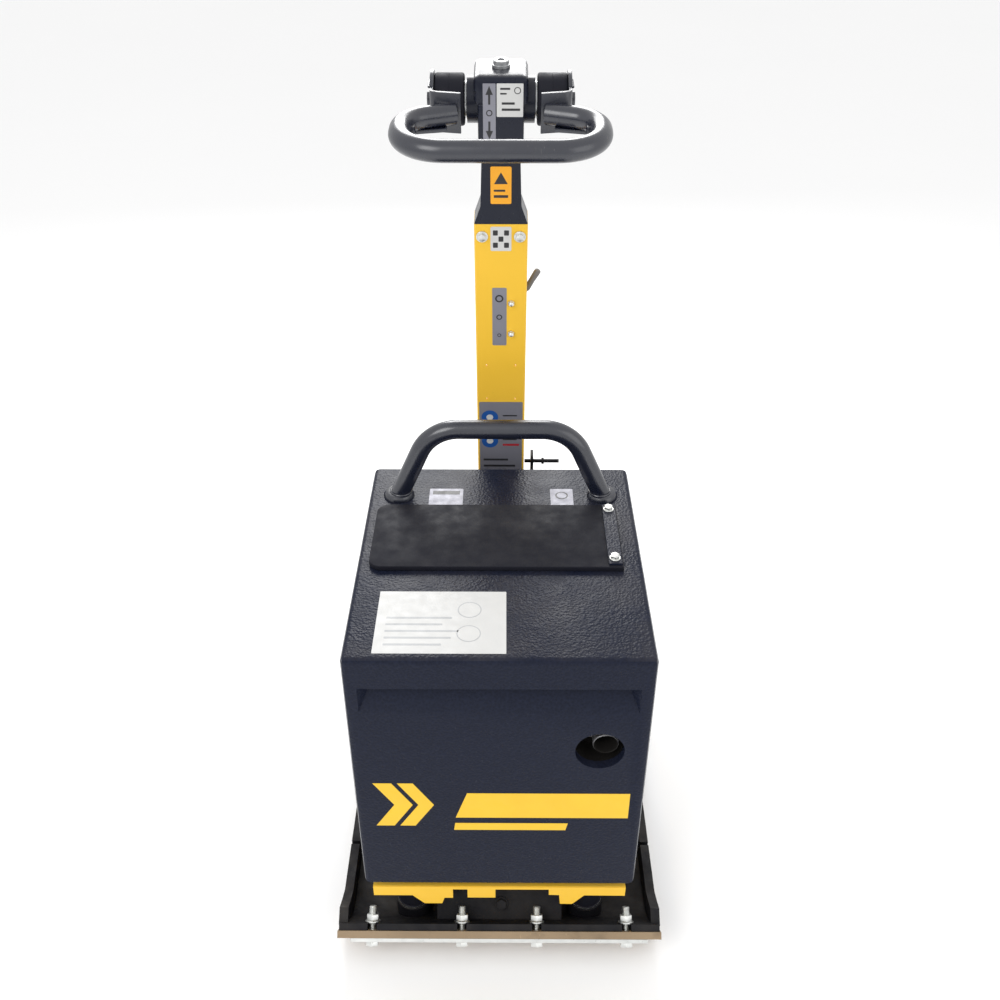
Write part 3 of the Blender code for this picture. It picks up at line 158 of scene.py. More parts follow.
class Surface:
    """One material's nodes, with short calls for the ones that every finish uses."""

    def __init__(self, name, roughness, metallic=0.0, coat=0.0, coat_roughness=0.2, level=0.5):
        self.material = bpy.data.materials.new(name)
        self.material.use_nodes = True
        self.tree = self.material.node_tree
        self.shader = self.tree.nodes["Principled BSDF"]
        self.shader.inputs["Roughness"].default_value = roughness
        self.shader.inputs["Metallic"].default_value = metallic
        self.shader.inputs["Coat Weight"].default_value = coat
        self.shader.inputs["Coat Roughness"].default_value = coat_roughness
        self.shader.inputs["Specular IOR Level"].default_value = level
        self.coordinate = self.tree.nodes.new("ShaderNodeTexCoord")

    def link(self, start, end):
        self.tree.links.new(start, end)

    def spread(self, stretch):
        mapping = self.tree.nodes.new("ShaderNodeMapping")
        mapping.inputs["Scale"].default_value = stretch
        self.link(self.coordinate.outputs["Object"], mapping.inputs["Vector"])
        return mapping.outputs["Vector"]

    def noise(self, scale, detail=4.0, stretch=(1, 1, 1)):
        node = self.tree.nodes.new("ShaderNodeTexNoise")
        node.inputs["Scale"].default_value = scale
        node.inputs["Detail"].default_value = detail
        self.link(self.spread(stretch), node.inputs["Vector"])
        return node.outputs["Fac"]

    def cells(self, scale):
        node = self.tree.nodes.new("ShaderNodeTexVoronoi")
        node.feature = "SMOOTH_F1"
        node.inputs["Scale"].default_value = scale
        node.inputs["Smoothness"].default_value = 0.7
        self.link(self.coordinate.outputs["Object"], node.inputs["Vector"])
        return node.outputs["Distance"]

    def band(self, value, low, high, start=0.0, end=1.0):
        node = self.tree.nodes.new("ShaderNodeMapRange")
        for socket, number in zip(("From Min", "From Max", "To Min", "To Max"), (low, high, start, end)):
            node.inputs[socket].default_value = number
        self.link(value, node.inputs["Value"])
        return node.outputs["Result"]

    def times(self, first, second):
        node = self.tree.nodes.new("ShaderNodeMath")
        node.operation = "MULTIPLY"
        for socket, value in zip(node.inputs, (first, second)):
            if isinstance(value, float):
                socket.default_value = value
            else:
                self.link(value, socket)
        return node.outputs["Value"]

    def blend(self, share, first, second):
        node = self.tree.nodes.new("ShaderNodeMix")
        node.data_type = "RGBA"
        self.link(share, node.inputs[0])
        for socket, value in ((node.inputs[6], first), (node.inputs[7], second)):
            if isinstance(value, tuple):
                socket.default_value = (*value, 1.0)
            else:
                self.link(value, socket)
        return node.outputs[2]

    def faces_up(self):
        split = self.tree.nodes.new("ShaderNodeSeparateXYZ")
        self.link(self.coordinate.outputs["Normal"], split.inputs["Vector"])
        return self.band(split.outputs["Z"], 0.35, 0.95)

    def bump(self, height, strength, distance):
        node = self.tree.nodes.new("ShaderNodeBump")
        node.inputs["Strength"].default_value = strength
        node.inputs["Distance"].default_value = distance
        self.link(height, node.inputs["Height"])
        previous = self.shader.inputs["Normal"].links
        if previous:
            self.link(previous[0].from_socket, node.inputs["Normal"])
        self.link(node.outputs["Normal"], self.shader.inputs["Normal"])

    def paint(self, value):
        self.link(value, self.shader.inputs["Base Color"])

    def roughen(self, value):
        self.link(value, self.shader.inputs["Roughness"])


def shade(base, factor):
    return tuple(min(1.0, channel * factor) for channel in base)


def dusted(surface, painted, amount):
    """Dust that gathers in patches on the faces that look up."""
    patches = surface.band(surface.noise(14.0, 6.0), 0.42, 0.72)
    share = surface.times(surface.times(surface.faces_up(), patches), float(amount))
    return surface.blend(share, painted, tuple(colours().dust))


def scratched(surface, painted, light, amount):
    """Thin scratches that run a short way along the piece."""
    lines = surface.band(surface.noise(420.0, 2.0, (1.0, 0.06, 0.3)), 0.69, 0.74)
    where = surface.band(surface.noise(9.0, 3.0), 0.52, 0.66)
    return surface.blend(surface.times(surface.times(lines, where), float(amount)), painted, light)


def powder_coat(name, base):
    surface = Surface(name, 0.40, level=0.25)
    painted = surface.blend(surface.noise(7.0, 6.0), shade(base, 0.93), shade(base, 1.06))
    painted = scratched(surface, painted, shade(base, 0.55), 0.45)
    surface.paint(dusted(surface, painted, 0.18))
    surface.roughen(surface.band(surface.noise(38.0, 5.0), 0.3, 0.7, 0.34, 0.50))
    surface.bump(surface.noise(260.0, 2.0), 0.10, 0.0006)
    return surface.material


def gloss_coat(name, base, level):
    surface = Surface(name, 0.22, level=level)
    painted = surface.blend(surface.noise(12.0, 5.0), shade(base, 0.88), shade(base, 1.16))
    painted = scratched(surface, painted, (0.16, 0.15, 0.14), 0.35)
    surface.paint(dusted(surface, painted, 0.04))
    surface.roughen(surface.band(surface.noise(30.0, 4.0), 0.3, 0.7, 0.20, 0.34))
    surface.bump(surface.noise(170.0, 2.0), 0.09, 0.0007)
    return surface.material


def hammered(name, base):
    surface = Surface(name, 0.30, level=0.12)
    painted = surface.blend(surface.noise(9.0, 5.0), shade(base, 0.86), shade(base, 1.18))
    painted = surface.blend(surface.band(surface.cells(1 / sizes().hammer), 0.1, 0.75), painted,
                            shade(base, 1.5))
    painted = scratched(surface, painted, (0.10, 0.10, 0.11), 0.25)
    surface.paint(dusted(surface, painted, 0.05))
    surface.roughen(surface.band(surface.noise(30.0, 4.0), 0.3, 0.7, 0.24, 0.36))
    surface.bump(surface.cells(1 / sizes().hammer), 0.42, 0.0010)
    surface.bump(surface.noise(90.0, 3.0), 0.16, 0.0012)
    return surface.material


def casting(name, base, metallic=0.0, roughness=0.55, dust=0.55):
    surface = Surface(name, roughness, metallic, level=0.22)
    painted = surface.blend(surface.noise(22.0, 6.0), shade(base, 0.75), shade(base, 1.35))
    surface.paint(dusted(surface, painted, dust))
    surface.roughen(surface.band(surface.noise(60.0, 4.0), 0.3, 0.7, roughness - 0.1, roughness + 0.16))
    surface.bump(surface.noise(420.0, 4.0), 0.38, 0.0008)
    surface.bump(surface.noise(55.0, 3.0), 0.20, 0.0015)
    return surface.material


def worn_mat(name, base):
    surface = Surface(name, 0.52, level=0.3)
    painted = surface.blend(surface.noise(11.0, 7.0), shade(base, 0.74), shade(base, 1.20))
    stains = surface.band(surface.noise(26.0, 6.0), 0.58, 0.76)
    painted = surface.blend(surface.times(stains, 0.6), painted, shade(base, 0.42))
    surface.paint(scratched(surface, painted, shade(base, 1.7), 0.6))
    surface.roughen(surface.band(surface.noise(45.0, 4.0), 0.3, 0.7, 0.42, 0.66))
    surface.bump(surface.noise(180.0, 5.0), 0.22, 0.0010)
    return surface.material


def bare_metal(name, base, roughness, stretch=(1, 1, 1), dust=0.12):
    surface = Surface(name, roughness, 1.0)
    painted = surface.blend(surface.noise(70.0, 6.0), shade(base, 0.80), shade(base, 1.08))
    surface.paint(dusted(surface, painted, dust))
    surface.roughen(surface.band(surface.noise(310.0, 3.0, stretch), 0.3, 0.7, roughness - 0.09,
                                 roughness + 0.13))
    surface.bump(surface.noise(520.0, 3.0, stretch), 0.10, 0.0004)
    return surface.material


def dark_rubber(name, base, dust):
    surface = Surface(name, 0.62, level=0.15)
    painted = surface.blend(surface.noise(16.0, 6.0), shade(base, 0.85), shade(base, 1.35))
    surface.paint(dusted(surface, painted, dust))
    surface.roughen(surface.band(surface.noise(50.0, 4.0), 0.3, 0.7, 0.50, 0.72))
    surface.bump(surface.noise(650.0, 3.0), 0.24, 0.0005)
    surface.bump(surface.noise(24.0, 3.0), 0.14, 0.0016)
    return surface.material


def moulded(name, base, roughness=0.50):
    surface = Surface(name, roughness)
    surface.paint(dusted(surface, surface.blend(surface.noise(18.0, 5.0), shade(base, 0.85),
                                                shade(base, 1.2)), 0.22))
    surface.roughen(surface.band(surface.noise(40.0, 4.0), 0.3, 0.7, roughness - 0.08, roughness + 0.12))
    surface.bump(surface.cells(900.0), 0.22, 0.0003)
    return surface.material


def printed(name, base, roughness=0.38, metallic=0.0):
    surface = Surface(name, roughness, metallic)
    painted = surface.blend(surface.noise(24.0, 6.0), shade(base, 0.90), shade(base, 1.04))
    surface.paint(scratched(surface, painted, shade(base, 0.6), 0.35))
    surface.roughen(surface.band(surface.noise(70.0, 4.0), 0.3, 0.7, roughness - 0.06, roughness + 0.12))
    surface.bump(surface.noise(150.0, 2.0), 0.05, 0.0004)
    return surface.material


# ---------------------------------------------------------------- making pieces

def build(name, bm, finishes, body, replaced=(), place=None, sharp=32.0, blend=None):
    """Turns a finished bmesh into a piece that rides on a body, or that is left unparented where it stands
    when blend is given.
    """
    if place is not None:
        bmesh.ops.transform(bm, matrix=place, verts=bm.verts)
    bmesh.ops.remove_doubles(bm, verts=bm.verts, dist=2e-6)
    bmesh.ops.recalc_face_normals(bm, faces=bm.faces)
    for face in bm.faces:
        face.smooth = True
    mesh = bpy.data.meshes.new(name)
    bm.to_mesh(mesh)
    bm.free()
    mesh.set_sharp_from_angle(angle=math.radians(sharp))
    for finish in finishes:
        mesh.materials.append(FINISH[finish])
    piece = bpy.data.objects.new(name, mesh)
    bpy.context.scene.collection.objects.link(piece)
    if replaced:
        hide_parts(*replaced)
    if blend:
        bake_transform(piece)
    else:
        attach(piece, body)
    return piece


def absorb(bm, other, index=None, place=None):
    """Adds another bmesh's faces to this one, turned into place, with one material index."""
    if place is not None:
        bmesh.ops.transform(other, matrix=place, verts=other.verts)
    if index is not None:
        for face in other.faces:
            face.material_index = index
    held = bpy.data.meshes.new("held")
    other.to_mesh(held)
    other.free()
    bm.from_mesh(held)
    bpy.data.meshes.remove(held)
    return bm


def soften(bm, width, segments=2, angle=28.0, chosen=None):
    """Rounds the edges that turn by more than this angle."""
    limit = math.radians(angle)
    edges = [edge for edge in (chosen or bm.edges)
             if len(edge.link_faces) == 2 and edge.calc_face_angle(0.0) > limit]
    if edges and width > 0:
        bmesh.ops.bevel(bm, geom=edges, offset=width, offset_type="OFFSET", segments=segments,
                        profile=0.5, affect="EDGES", clamp_overlap=True, material=-1)
    return bm


def turned(profile, steps=ROUND, indices=None):
    """Spins a profile of (radius, height) points round +Z."""
    bm = bmesh.new()
    verts = [bm.verts.new((radius, 0.0, height)) for radius, height in profile]
    edges = [bm.edges.new(pair) for pair in zip(verts, verts[1:])]
    bmesh.ops.spin(bm, geom=verts + edges, cent=(0, 0, 0), axis=(0, 0, 1), angle=2 * math.pi,
                   steps=steps, use_merge=True)
    bmesh.ops.remove_doubles(bm, verts=bm.verts, dist=2e-6)
    if indices:
        for face in bm.faces:
            face.material_index = indices(face.calc_center_median())
    return bm


def slab(outline, thickness, edge=0.0, segments=2):
    """A flat outline given a thickness upward from its plane."""
    bm = bmesh.new()
    face = bm.faces.new([bm.verts.new((x, y, 0.0)) for x, y in outline])
    raised = bmesh.ops.extrude_face_region(bm, geom=[face])
    moved = [item for item in raised["geom"] if isinstance(item, bmesh.types.BMVert)]
    bmesh.ops.translate(bm, verts=moved, vec=(0, 0, thickness))
    bmesh.ops.recalc_face_normals(bm, faces=bm.faces)
    return soften(bm, edge, segments) if edge else bm


def block(low, high, edge=0.0, segments=2):
    low, high = Vector(low), Vector(high)
    bm = bmesh.new()
    bmesh.ops.create_cube(bm, size=1.0)
    bmesh.ops.scale(bm, vec=high - low, verts=bm.verts)
    bmesh.ops.translate(bm, vec=(low + high) / 2, verts=bm.verts)
    return soften(bm, edge, segments) if edge else bm


def round_corners(points, radii, steps=8, closed=True):
    """Outline points with an arc of the given radius at each corner."""
    points = [Vector(point) for point in points]
    made = []
    for number, (corner, radius) in enumerate(zip(points, radii)):
        if not radius or (not closed and number in (0, len(points) - 1)):
            made.append(corner)
            continue
        before = (points[number - 1] - corner).normalized()
        after = (points[(number + 1) % len(points)] - corner).normalized()
        half = before.angle(after) / 2
        centre = corner + (before + after).normalized() * (radius / math.sin(half))
        start = (corner + before * (radius / math.tan(half)) - centre).normalized()
        end = (corner + after * (radius / math.tan(half)) - centre).normalized()
        made += [centre + start.slerp(end, step / steps) * radius for step in range(steps + 1)]
    return made


def rounded_label(left, bottom, right, top, radius=0.002):
    corners = [(left, bottom), (right, bottom), (right, top), (left, top)]
    return [tuple(point[:2]) for point in round_corners([(x, y, 0) for x, y in corners], [radius] * 4, 4)]


def disc(x, y, radius, steps=32):
    return [(x + radius * math.cos(math.tau * k / steps), y + radius * math.sin(math.tau * k / steps))
            for k in range(steps)]


def tube(path, radius, sides=None, closed=False):
    """Rings along a path, bridged to each other and capped; radius is a number or one per point."""
    sides = sides or sizes().tube_sides
    radii = radius if isinstance(radius, list) else [radius] * len(path)
    bm, rings = bmesh.new(), []
    for number, point in enumerate(path):
        before = path[number - 1] if number or closed else point
        after = path[(number + 1) % len(path)] if number < len(path) - 1 or closed else point
        turn = (after - before).to_track_quat("Z", "Y").to_matrix().to_4x4()
        ring = bmesh.ops.create_circle(bm, segments=sides, radius=radii[number],
                                       matrix=Matrix.Translation(point) @ turn)["verts"]
        rings.append(list({edge for vert in ring for edge in vert.link_edges}))
    pairs = list(zip(rings, rings[1:])) + ([(rings[-1], rings[0])] if closed else [])
    for first, second in pairs:
        bmesh.ops.bridge_loops(bm, edges=first + second)
    if not closed:
        bmesh.ops.holes_fill(bm, edges=rings[0] + rings[-1], sides=0)
    return bm


def weld_bead(path, radius, closed=False):
    """A weld seam, whose thickness ripples along the path."""
    radii = [radius * (0.84 + 0.16 * abs(math.sin(1.9 * number))) for number in range(len(path))]
    return tube(path, radii, 10, closed)


def ring_path(centre, radius, steps, turn=Matrix.Identity(4)):
    spokes = [Vector((radius * math.cos(math.tau * k / steps), radius * math.sin(math.tau * k / steps), 0))
              for k in range(steps)]
    return [Vector(centre) + turn.to_3x3() @ spoke for spoke in spokes]


def hex_head(across, height, edge=0.0009):
    bm = bmesh.new()
    bmesh.ops.create_circle(bm, cap_ends=True, segments=6, radius=across)
    raised = bmesh.ops.extrude_face_region(bm, geom=bm.faces[:])
    moved = [item for item in raised["geom"] if isinstance(item, bmesh.types.BMVert)]
    bmesh.ops.translate(bm, verts=moved, vec=(0, 0, height))
    bmesh.ops.recalc_face_normals(bm, faces=bm.faces)
    return soften(bm, edge, 3)


def threaded(radius, bottom, top, pitch=0.00175):
    """A screw's shank with its thread as rings."""
    count = max(1, int((top - bottom) / pitch))
    profile = [(0.0, bottom), (radius, bottom)]
    for number in range(count):
        height = bottom + (number + 0.5) * (top - bottom) / count
        profile += [(radius, height - pitch * 0.1), (radius * 0.88, height + pitch * 0.25)]
    return turned(profile + [(radius * 0.9, top), (0.0, top)], 32)


def refined(node, edge, segments=2, finish=None, angle=28.0, blend=None, body=None):
    """A copy of a CAD node, merged and cleaned, with its edges rounded."""
    bm = bmesh.new()
    bm.from_mesh(frame["nodes"][node].data)
    bmesh.ops.remove_doubles(bm, verts=bm.verts, dist=1e-5)
    bmesh.ops.dissolve_limit(bm, angle_limit=math.radians(0.6), verts=bm.verts, edges=bm.edges)
    soften(bm, edge, segments, angle)
    piece = build(f"{node}_skin", bm, [finish or SLOT_OF[node]], body or BODY_OF[node],
                  [node], blend=blend)
    if not blend:
        piece.modifiers.new("even_shading", "WEIGHTED_NORMAL").keep_sharp = True
    return piece


def label(name, layers, body, place):
    """A label: flat outlines laid one on another, each in its own finish."""
    bm, finishes = bmesh.new(), []
    for outline, finish, thick in layers:
        if finish not in finishes:
            finishes.append(finish)
        sheet = slab(outline, thick)
        absorb(bm, sheet, finishes.index(finish))
    return build(name, bm, finishes, body, place=place, sharp=20.0)


# ---------------------------------------------------------------- operators

class Piece(bpy.types.Operator):
    """Shared options of the operators that add pieces"""
    bl_idname = "compactor.piece"
    bl_label = "Piece"
    bl_options = {"REGISTER", "UNDO"}


class AddFinishes(Piece):
    """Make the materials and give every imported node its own"""
    bl_idname = "compactor.finishes"
    bl_label = "Finishes"

    def execute(self, context):
        chosen = colours()
        FINISH.update({
            "yellow_paint": powder_coat("yellow_paint", tuple(chosen.yellow)),
            "hood_paint": hammered("hood_paint", tuple(chosen.hood)),
            "bow_paint": gloss_coat("bow_paint", tuple(chosen.hood), 1.0),
            "head_paint": gloss_coat("head_paint", tuple(chosen.hood), 0.30),
            "black_cast": casting("black_cast", tuple(chosen.cast), dust=0.10),
            "cast_metal": casting("cast_metal", (0.36, 0.36, 0.37), 0.85, 0.46, 0.2),
            "steel": bare_metal("steel", (0.55, 0.56, 0.57), 0.32, (1, 8, 8)),
            "zinc": bare_metal("zinc", (0.76, 0.77, 0.75), 0.36),
            "rubber": dark_rubber("rubber", tuple(chosen.rubber), 0.01),
            "mat": worn_mat("mat", tuple(chosen.mat)),
            "black_plastic": moulded("black_plastic", (0.018, 0.018, 0.020)),
            "grey_grip": moulded("grey_grip", (0.15, 0.14, 0.13), 0.6),
            # Near-black finish: real soot in the exhaust pipe's bore, and painted shade in the cup behind
            # the exhaust hole
            "soot_and_painted_shade": casting("soot_and_painted_shade", (0.008, 0.007, 0.006), 0.0, 0.8, 0.0),
            "label_silver": printed("label_silver", tuple(chosen.label), 0.40, 0.25),
            "label_white": printed("label_white", (0.60, 0.60, 0.59)),
            "label_black": printed("label_black", (0.02, 0.02, 0.022)),
            "label_blue": printed("label_blue", (0.012, 0.085, 0.33)),
            "label_red": printed("label_red", (0.42, 0.020, 0.030)),
            "label_orange": printed("label_orange", (0.92, 0.40, 0.010)),
            "label_grey": printed("label_grey", (0.42, 0.43, 0.44)),
            "sign_yellow": printed("sign_yellow", (0.86, 0.53, 0.018)),
        })
        for name, node in frame["nodes"].items():
            if not node.material_slots:
                node.data.materials.append(None)
            for held in node.material_slots:
                held.material = FINISH[SLOT_OF[name]]
        return {"FINISHED"}


class AddPlate(Piece):
    """Add the cast plate, its mat and the strip that holds the mat"""
    bl_idname = "compactor.plate"
    bl_label = "Plate and mat"

    def execute(self, context):
        refined("base_plate", sizes().casting_edge)
        refined("sole_mat", 0.0008)
        refined("mat_clamp_strip", 0.0008)
        refined("drain_plug", 0.0006, finish="black_cast")
        for number, x in enumerate(CLAMP_BOLTS_X, start=1):
            self.clamp_bolt(number, x)
        return {"FINISHED"}

    def clamp_bolt(self, number, x):
        spot = LIP_FOLD @ Matrix.Translation((x, -LIP_REACH, 0))
        bolt = threaded(0.00595, -0.0080, PLATE_TOP + 0.0240)
        absorb(bolt, hex_head(0.0104, 0.0072), place=Matrix.Translation((0, 0, -0.0137)))
        build(f"clamp_bolt_{number}_body", bolt, ["zinc"], "base", [f"clamp_bolt_{number}"],
              place=spot)
        rise = PLATE_TOP + 0.0003
        nut = turned([(0.0062, rise), (0.0118, rise), (0.0120, rise + 0.0004), (0.0120, rise + 0.0021),
                      (0.0117, rise + 0.0024), (0.0062, rise + 0.0024), (0.0062, rise)])
        absorb(nut, hex_head(0.0104, 0.0095), place=Matrix.Translation((0, 0, rise + 0.0025)))
        build(f"clamp_nut_{number}_body", nut, ["zinc"], "base", [f"clamp_nut_{number}"],
              place=spot)


class AddExciter(Piece):
    """Add the exciter's case, shafts, gears and pulley"""
    bl_idname = "compactor.exciter"
    bl_label = "Exciter"

    def execute(self, context):
        for node, edge in (("exciter_housing", 0.0015), ("exciter_cover_left", 0.0012),
                           ("exciter_cover_right", 0.0012), ("eccentric_shaft_front", 0.0006),
                           ("eccentric_shaft_rear", 0.0006), ("exciter_gear_front", 0.0003),
                           ("exciter_gear_rear", 0.0003), ("exciter_pulley", 0.0005)):
            refined(node, edge)
        return {"FINISHED"}


class AddBuffers(Piece):
    """Add the rubber buffers between the plate and the console, and the belt that crosses them"""
    bl_idname = "compactor.buffers"
    bl_label = "Buffers and belt"

    def execute(self, context):
        for number in range(1, 5):
            node = f"rubber_buffer_{number}"
            low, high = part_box(node)
            middle, radius = (low + high) / 2, (high.x - low.x) / 2
            foot, top = low.z, high.z
            profile = [(0, foot), (radius, foot), (radius, foot + 0.003), (radius - 0.0015, foot + 0.004)]
            for step in range(1, 10):
                share = step / 10
                waist = radius - 0.0015 - 0.0035 * math.sin(math.pi * share)
                profile.append((waist, foot + 0.004 + share * (top - foot - 0.008)))
            profile += [(radius - 0.0015, top - 0.004), (radius, top - 0.003), (radius, top), (0, top)]

            def end_plate(centre, foot=foot, top=top):
                return 1 if centre.z < foot + 0.003 or centre.z > top - 0.003 else 0

            buffer = turned(profile, ROUND, end_plate)
            build(f"{node}_body", buffer, ["rubber", "zinc"], ("base", "upper"), [node],
                  place=Matrix.Translation((middle.x, middle.y, 0)),
                  blend=((middle.x, middle.y, foot + 0.003), (middle.x, middle.y, top - 0.003)))
        low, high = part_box("v_belt")
        refined("v_belt", 0.0004, 1, blend=((0, 0, low.z + 0.04), (0, 0, high.z - 0.09)),
                body=("base", "upper"))
        return {"FINISHED"}


class AddConsole(Piece):
    """Add the console that carries the engine, with the drawbar's ears"""
    bl_idname = "compactor.console"
    bl_label = "Console"

    def execute(self, context):
        refined("engine_console", sizes().sheet_edge)
        refined("drawbar_pivot_pin", 0.0008)
        refined("latch_bracket", 0.0006)
        refined("latch_pin", 0.0005)
        return {"FINISHED"}


class AddEngine(Piece):
    """Add the engine and its fittings under the hood"""
    bl_idname = "compactor.engine"
    bl_label = "Engine"

    def execute(self, context):
        for node, edge in (("crankcase", 0.0020), ("engine_cylinder", 0.0006), ("crankshaft", 0.0008),
                           ("clutch_drum", 0.0006), ("fan_cowl", 0.0010), ("starter_grip", 0.0010),
                           ("fuel_tank", 0.0020), ("fuel_cap", 0.0012), ("air_filter", 0.0012),
                           ("muffler", 0.0012)):
            refined(node, edge)
        return {"FINISHED"}


class AddHood(Piece):
    """Add the hood with its grip groove, vents and the exhaust in its front"""
    bl_idname = "compactor.hood"
    bl_label = "Hood and exhaust"

    def execute(self, context):
        refined("hood", 0.0008, 2, angle=34.0)
        low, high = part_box("exhaust_pipe")
        middle, depth = (low + high) / 2, high.y - low.y
        radius = 0.0175
        wall = 0.0016
        profile = [(radius, 0.003), (0.026, 0.003), (0.026, 0.0), (radius - wall, 0.0),
                   (radius - wall, depth - 0.0012), (radius - wall / 2, depth), (radius, depth - 0.0012),
                   (radius, 0.003)]

        # The bore's faces take the near-black finish, which is real soot and also painted shade
        def inside(centre):
            return 1 if math.hypot(centre.x, centre.y) < radius - wall * 0.75 else 0

        build("exhaust_pipe_body", turned(profile, 64, inside), ["cast_metal", "soot_and_painted_shade"], "upper",
              ["exhaust_pipe"],
              place=Matrix.Translation((middle.x, high.y, middle.z)) @ FACE_FRONT)
        # A near-black cup behind the round opening, which paints the shade inside the hood, so that the
        # deck doesn't show through it
        outer, depth, sheet, middle_hole = 0.0372, 0.0440, 0.0010, 0.0004
        shade_cup = turned([(middle_hole, 0.0), (outer, 0.0), (outer, depth), (outer - sheet, depth),
                       (outer - sheet, sheet), (middle_hole, sheet), (middle_hole, 0.0)], 64)
        build("exhaust_shade_cup", shade_cup, ["soot_and_painted_shade"], "upper",
              place=Matrix.Translation(EXHAUST_SHADE_CUP) @ FACE_FRONT)
        return {"FINISHED"}


class AddHoodLabels(Piece):
    """Add the plain signs and labels on the hood"""
    bl_idname = "compactor.hood_labels"
    bl_label = "Hood labels"

    def execute(self, context):
        thick = sizes().label_thick
        front = Matrix.Translation((0, HOOD_LOW.y + 0.00005, 0)) @ FACE_FRONT
        chevrons = [([(-0.176, 0.304), (-0.150, 0.304), (-0.122, 0.349), (-0.150, 0.394),
                      (-0.176, 0.394), (-0.148, 0.349)], "sign_yellow", thick),
                    ([(-0.142, 0.304), (-0.120, 0.304), (-0.092, 0.349), (-0.120, 0.394),
                      (-0.142, 0.394), (-0.114, 0.349)], "sign_yellow", thick)]
        label("front_emblem", chevrons, "upper", front)
        bars = [([(-0.062, 0.322), (0.183, 0.322), (0.183, 0.374), (-0.045, 0.374)], "sign_yellow", thick),
                ([(-0.065, 0.295), (0.095, 0.295), (0.098, 0.310), (-0.063, 0.310)], "sign_yellow", thick)]
        label("front_band", bars, "upper", front)
        top = Matrix.Translation((0, 0, HOOD_HIGH.z - 0.00005))
        label("top_plate_left", [(rounded_label(-0.110, 0.0615, -0.058, 0.114), "label_silver", thick),
                                 (rounded_label(-0.105, 0.098, -0.063, 0.108, 0.0008), "label_black",
                                  thick * 1.3)], "upper", top)
        label("top_plate_right", [(rounded_label(0.077, 0.0615, 0.112, 0.114), "label_silver", thick),
                                  (disc(0.0945, 0.096, 0.010), "label_black", thick * 1.3),
                                  (disc(0.0945, 0.096, 0.0075), "label_silver", thick * 1.6)], "upper",
              top)
        sheet = [(rounded_label(-0.163, -0.260, 0.009, -0.137, 0.001), "label_white", thick)]
        for row in range(5):
            sheet.append((rounded_label(-0.150, -0.245 + row * 0.013, -0.075 + 0.012 * (row % 3),
                                        -0.2415 + row * 0.013, 0.0006), "label_grey", thick * 1.3))
        sheet += [(disc(-0.040, -0.175, 0.016), "label_grey", thick * 1.3),
                  (disc(-0.040, -0.175, 0.0145), "label_white", thick * 1.6),
                  (disc(-0.040, -0.222, 0.016), "label_grey", thick * 1.3),
                  (disc(-0.040, -0.222, 0.0145), "label_white", thick * 1.6)]
        label("top_sheet", sheet, "upper", top)
        return {"FINISHED"}


class AddFlap(Piece):
    """Add the rubber flap over the filler, with its clamp strip and bolts"""
    bl_idname = "compactor.flap"
    bl_label = "Flap"

    def execute(self, context):
        low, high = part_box("rubber_flap")
        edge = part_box("flap_root")[1].x
        hinge = JOINTS["flap_lift"]["pos_m"][0]
        corners = [(low.x, low.y, 0), (edge, low.y, 0), (edge, high.y, 0), (low.x, high.y, 0)]
        outline = [tuple(point[:2]) for point in round_corners(corners, [0.018, 0, 0, 0.018], 10)]
        flap = slab(outline, high.z - low.z, 0.0013, 3)
        for step in range(13):
            x = hinge - 0.018 + 0.003 * step
            bmesh.ops.bisect_plane(flap, geom=flap.verts[:] + flap.edges[:] + flap.faces[:],
                                   plane_co=(x, 0, 0), plane_no=(1, 0, 0))
        build("rubber_flap_sheet", flap, ["rubber"], ("upper", "flap"),
              ["rubber_flap", "flap_root"], place=Matrix.Translation((0, 0, low.z)),
              blend=((hinge + 0.003, 0, low.z), (hinge - 0.012, 0, low.z)))
        refined("flap_clamp_strip", 0.0007)
        for node in ("flap_bolt_front", "flap_bolt_rear"):
            lowest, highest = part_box(node)
            middle = (lowest + highest) / 2
            head = highest.z - 0.0060
            bolt = turned([(0, head), (0.0080, head), (0.0080, head + 0.0010), (0.0074, head + 0.0015),
                           (0, head + 0.0015)])
            absorb(bolt, hex_head(0.0068, 0.0048, 0.0007), place=Matrix.Translation((0, 0, head + 0.0012)))
            absorb(bolt, threaded(0.0034, lowest.z, head + 0.0005, 0.00125))
            build(f"{node}_body", bolt, ["zinc"], "upper", [node],
                  place=Matrix.Translation((middle.x, middle.y, 0)))
        return {"FINISHED"}


class AddLiftingBow(Piece):
    """Add the tube that the machine is lifted by, with its weld collars"""
    bl_idname = "compactor.lifting_bow"
    bl_label = "Lifting bow"

    def execute(self, context):
        low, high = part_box("lifting_bow")
        radius, foot = sizes().lifting_tube, low.z
        y, top = (low.y + high.y) / 2, high.z - radius
        half, angle = 0.157, math.radians(66)
        rise = top - foot
        inset = rise / math.tan(angle)
        corners = [Vector((-half, y, foot)), Vector((-half + inset, y, top)),
                   Vector((half - inset, y, top)), Vector((half, y, foot))]
        path = round_corners(corners, [0, 0.065, 0.065, 0], 16, closed=False)
        bow = tube(path, radius)
        cut = bmesh.ops.bisect_plane(bow, geom=bow.verts[:] + bow.edges[:] + bow.faces[:],
                                     plane_co=(0, 0, foot), plane_no=(0, 0, -1), clear_outer=True)
        bmesh.ops.holes_fill(bow, edges=[item for item in cut["geom_cut"]
                                         if isinstance(item, bmesh.types.BMEdge)], sides=0)
        for side in (-1, 1):
            collar = turned([(0, foot), (0.0235, foot), (0.0235, foot + 0.0015), (0.0205, foot + 0.0065),
                             (0.0170, foot + 0.0080), (0, foot + 0.0080)])
            absorb(bow, collar, place=Matrix.Translation((side * half, y, 0)))
            seam = ring_path((side * (half - 0.004), y, foot + 0.0085), 0.0160, 44)
            absorb(bow, weld_bead(seam, 0.0019, closed=True))
        build("lifting_bow_tube", bow, ["bow_paint"], "upper", ["lifting_bow"])
        return {"FINISHED"}


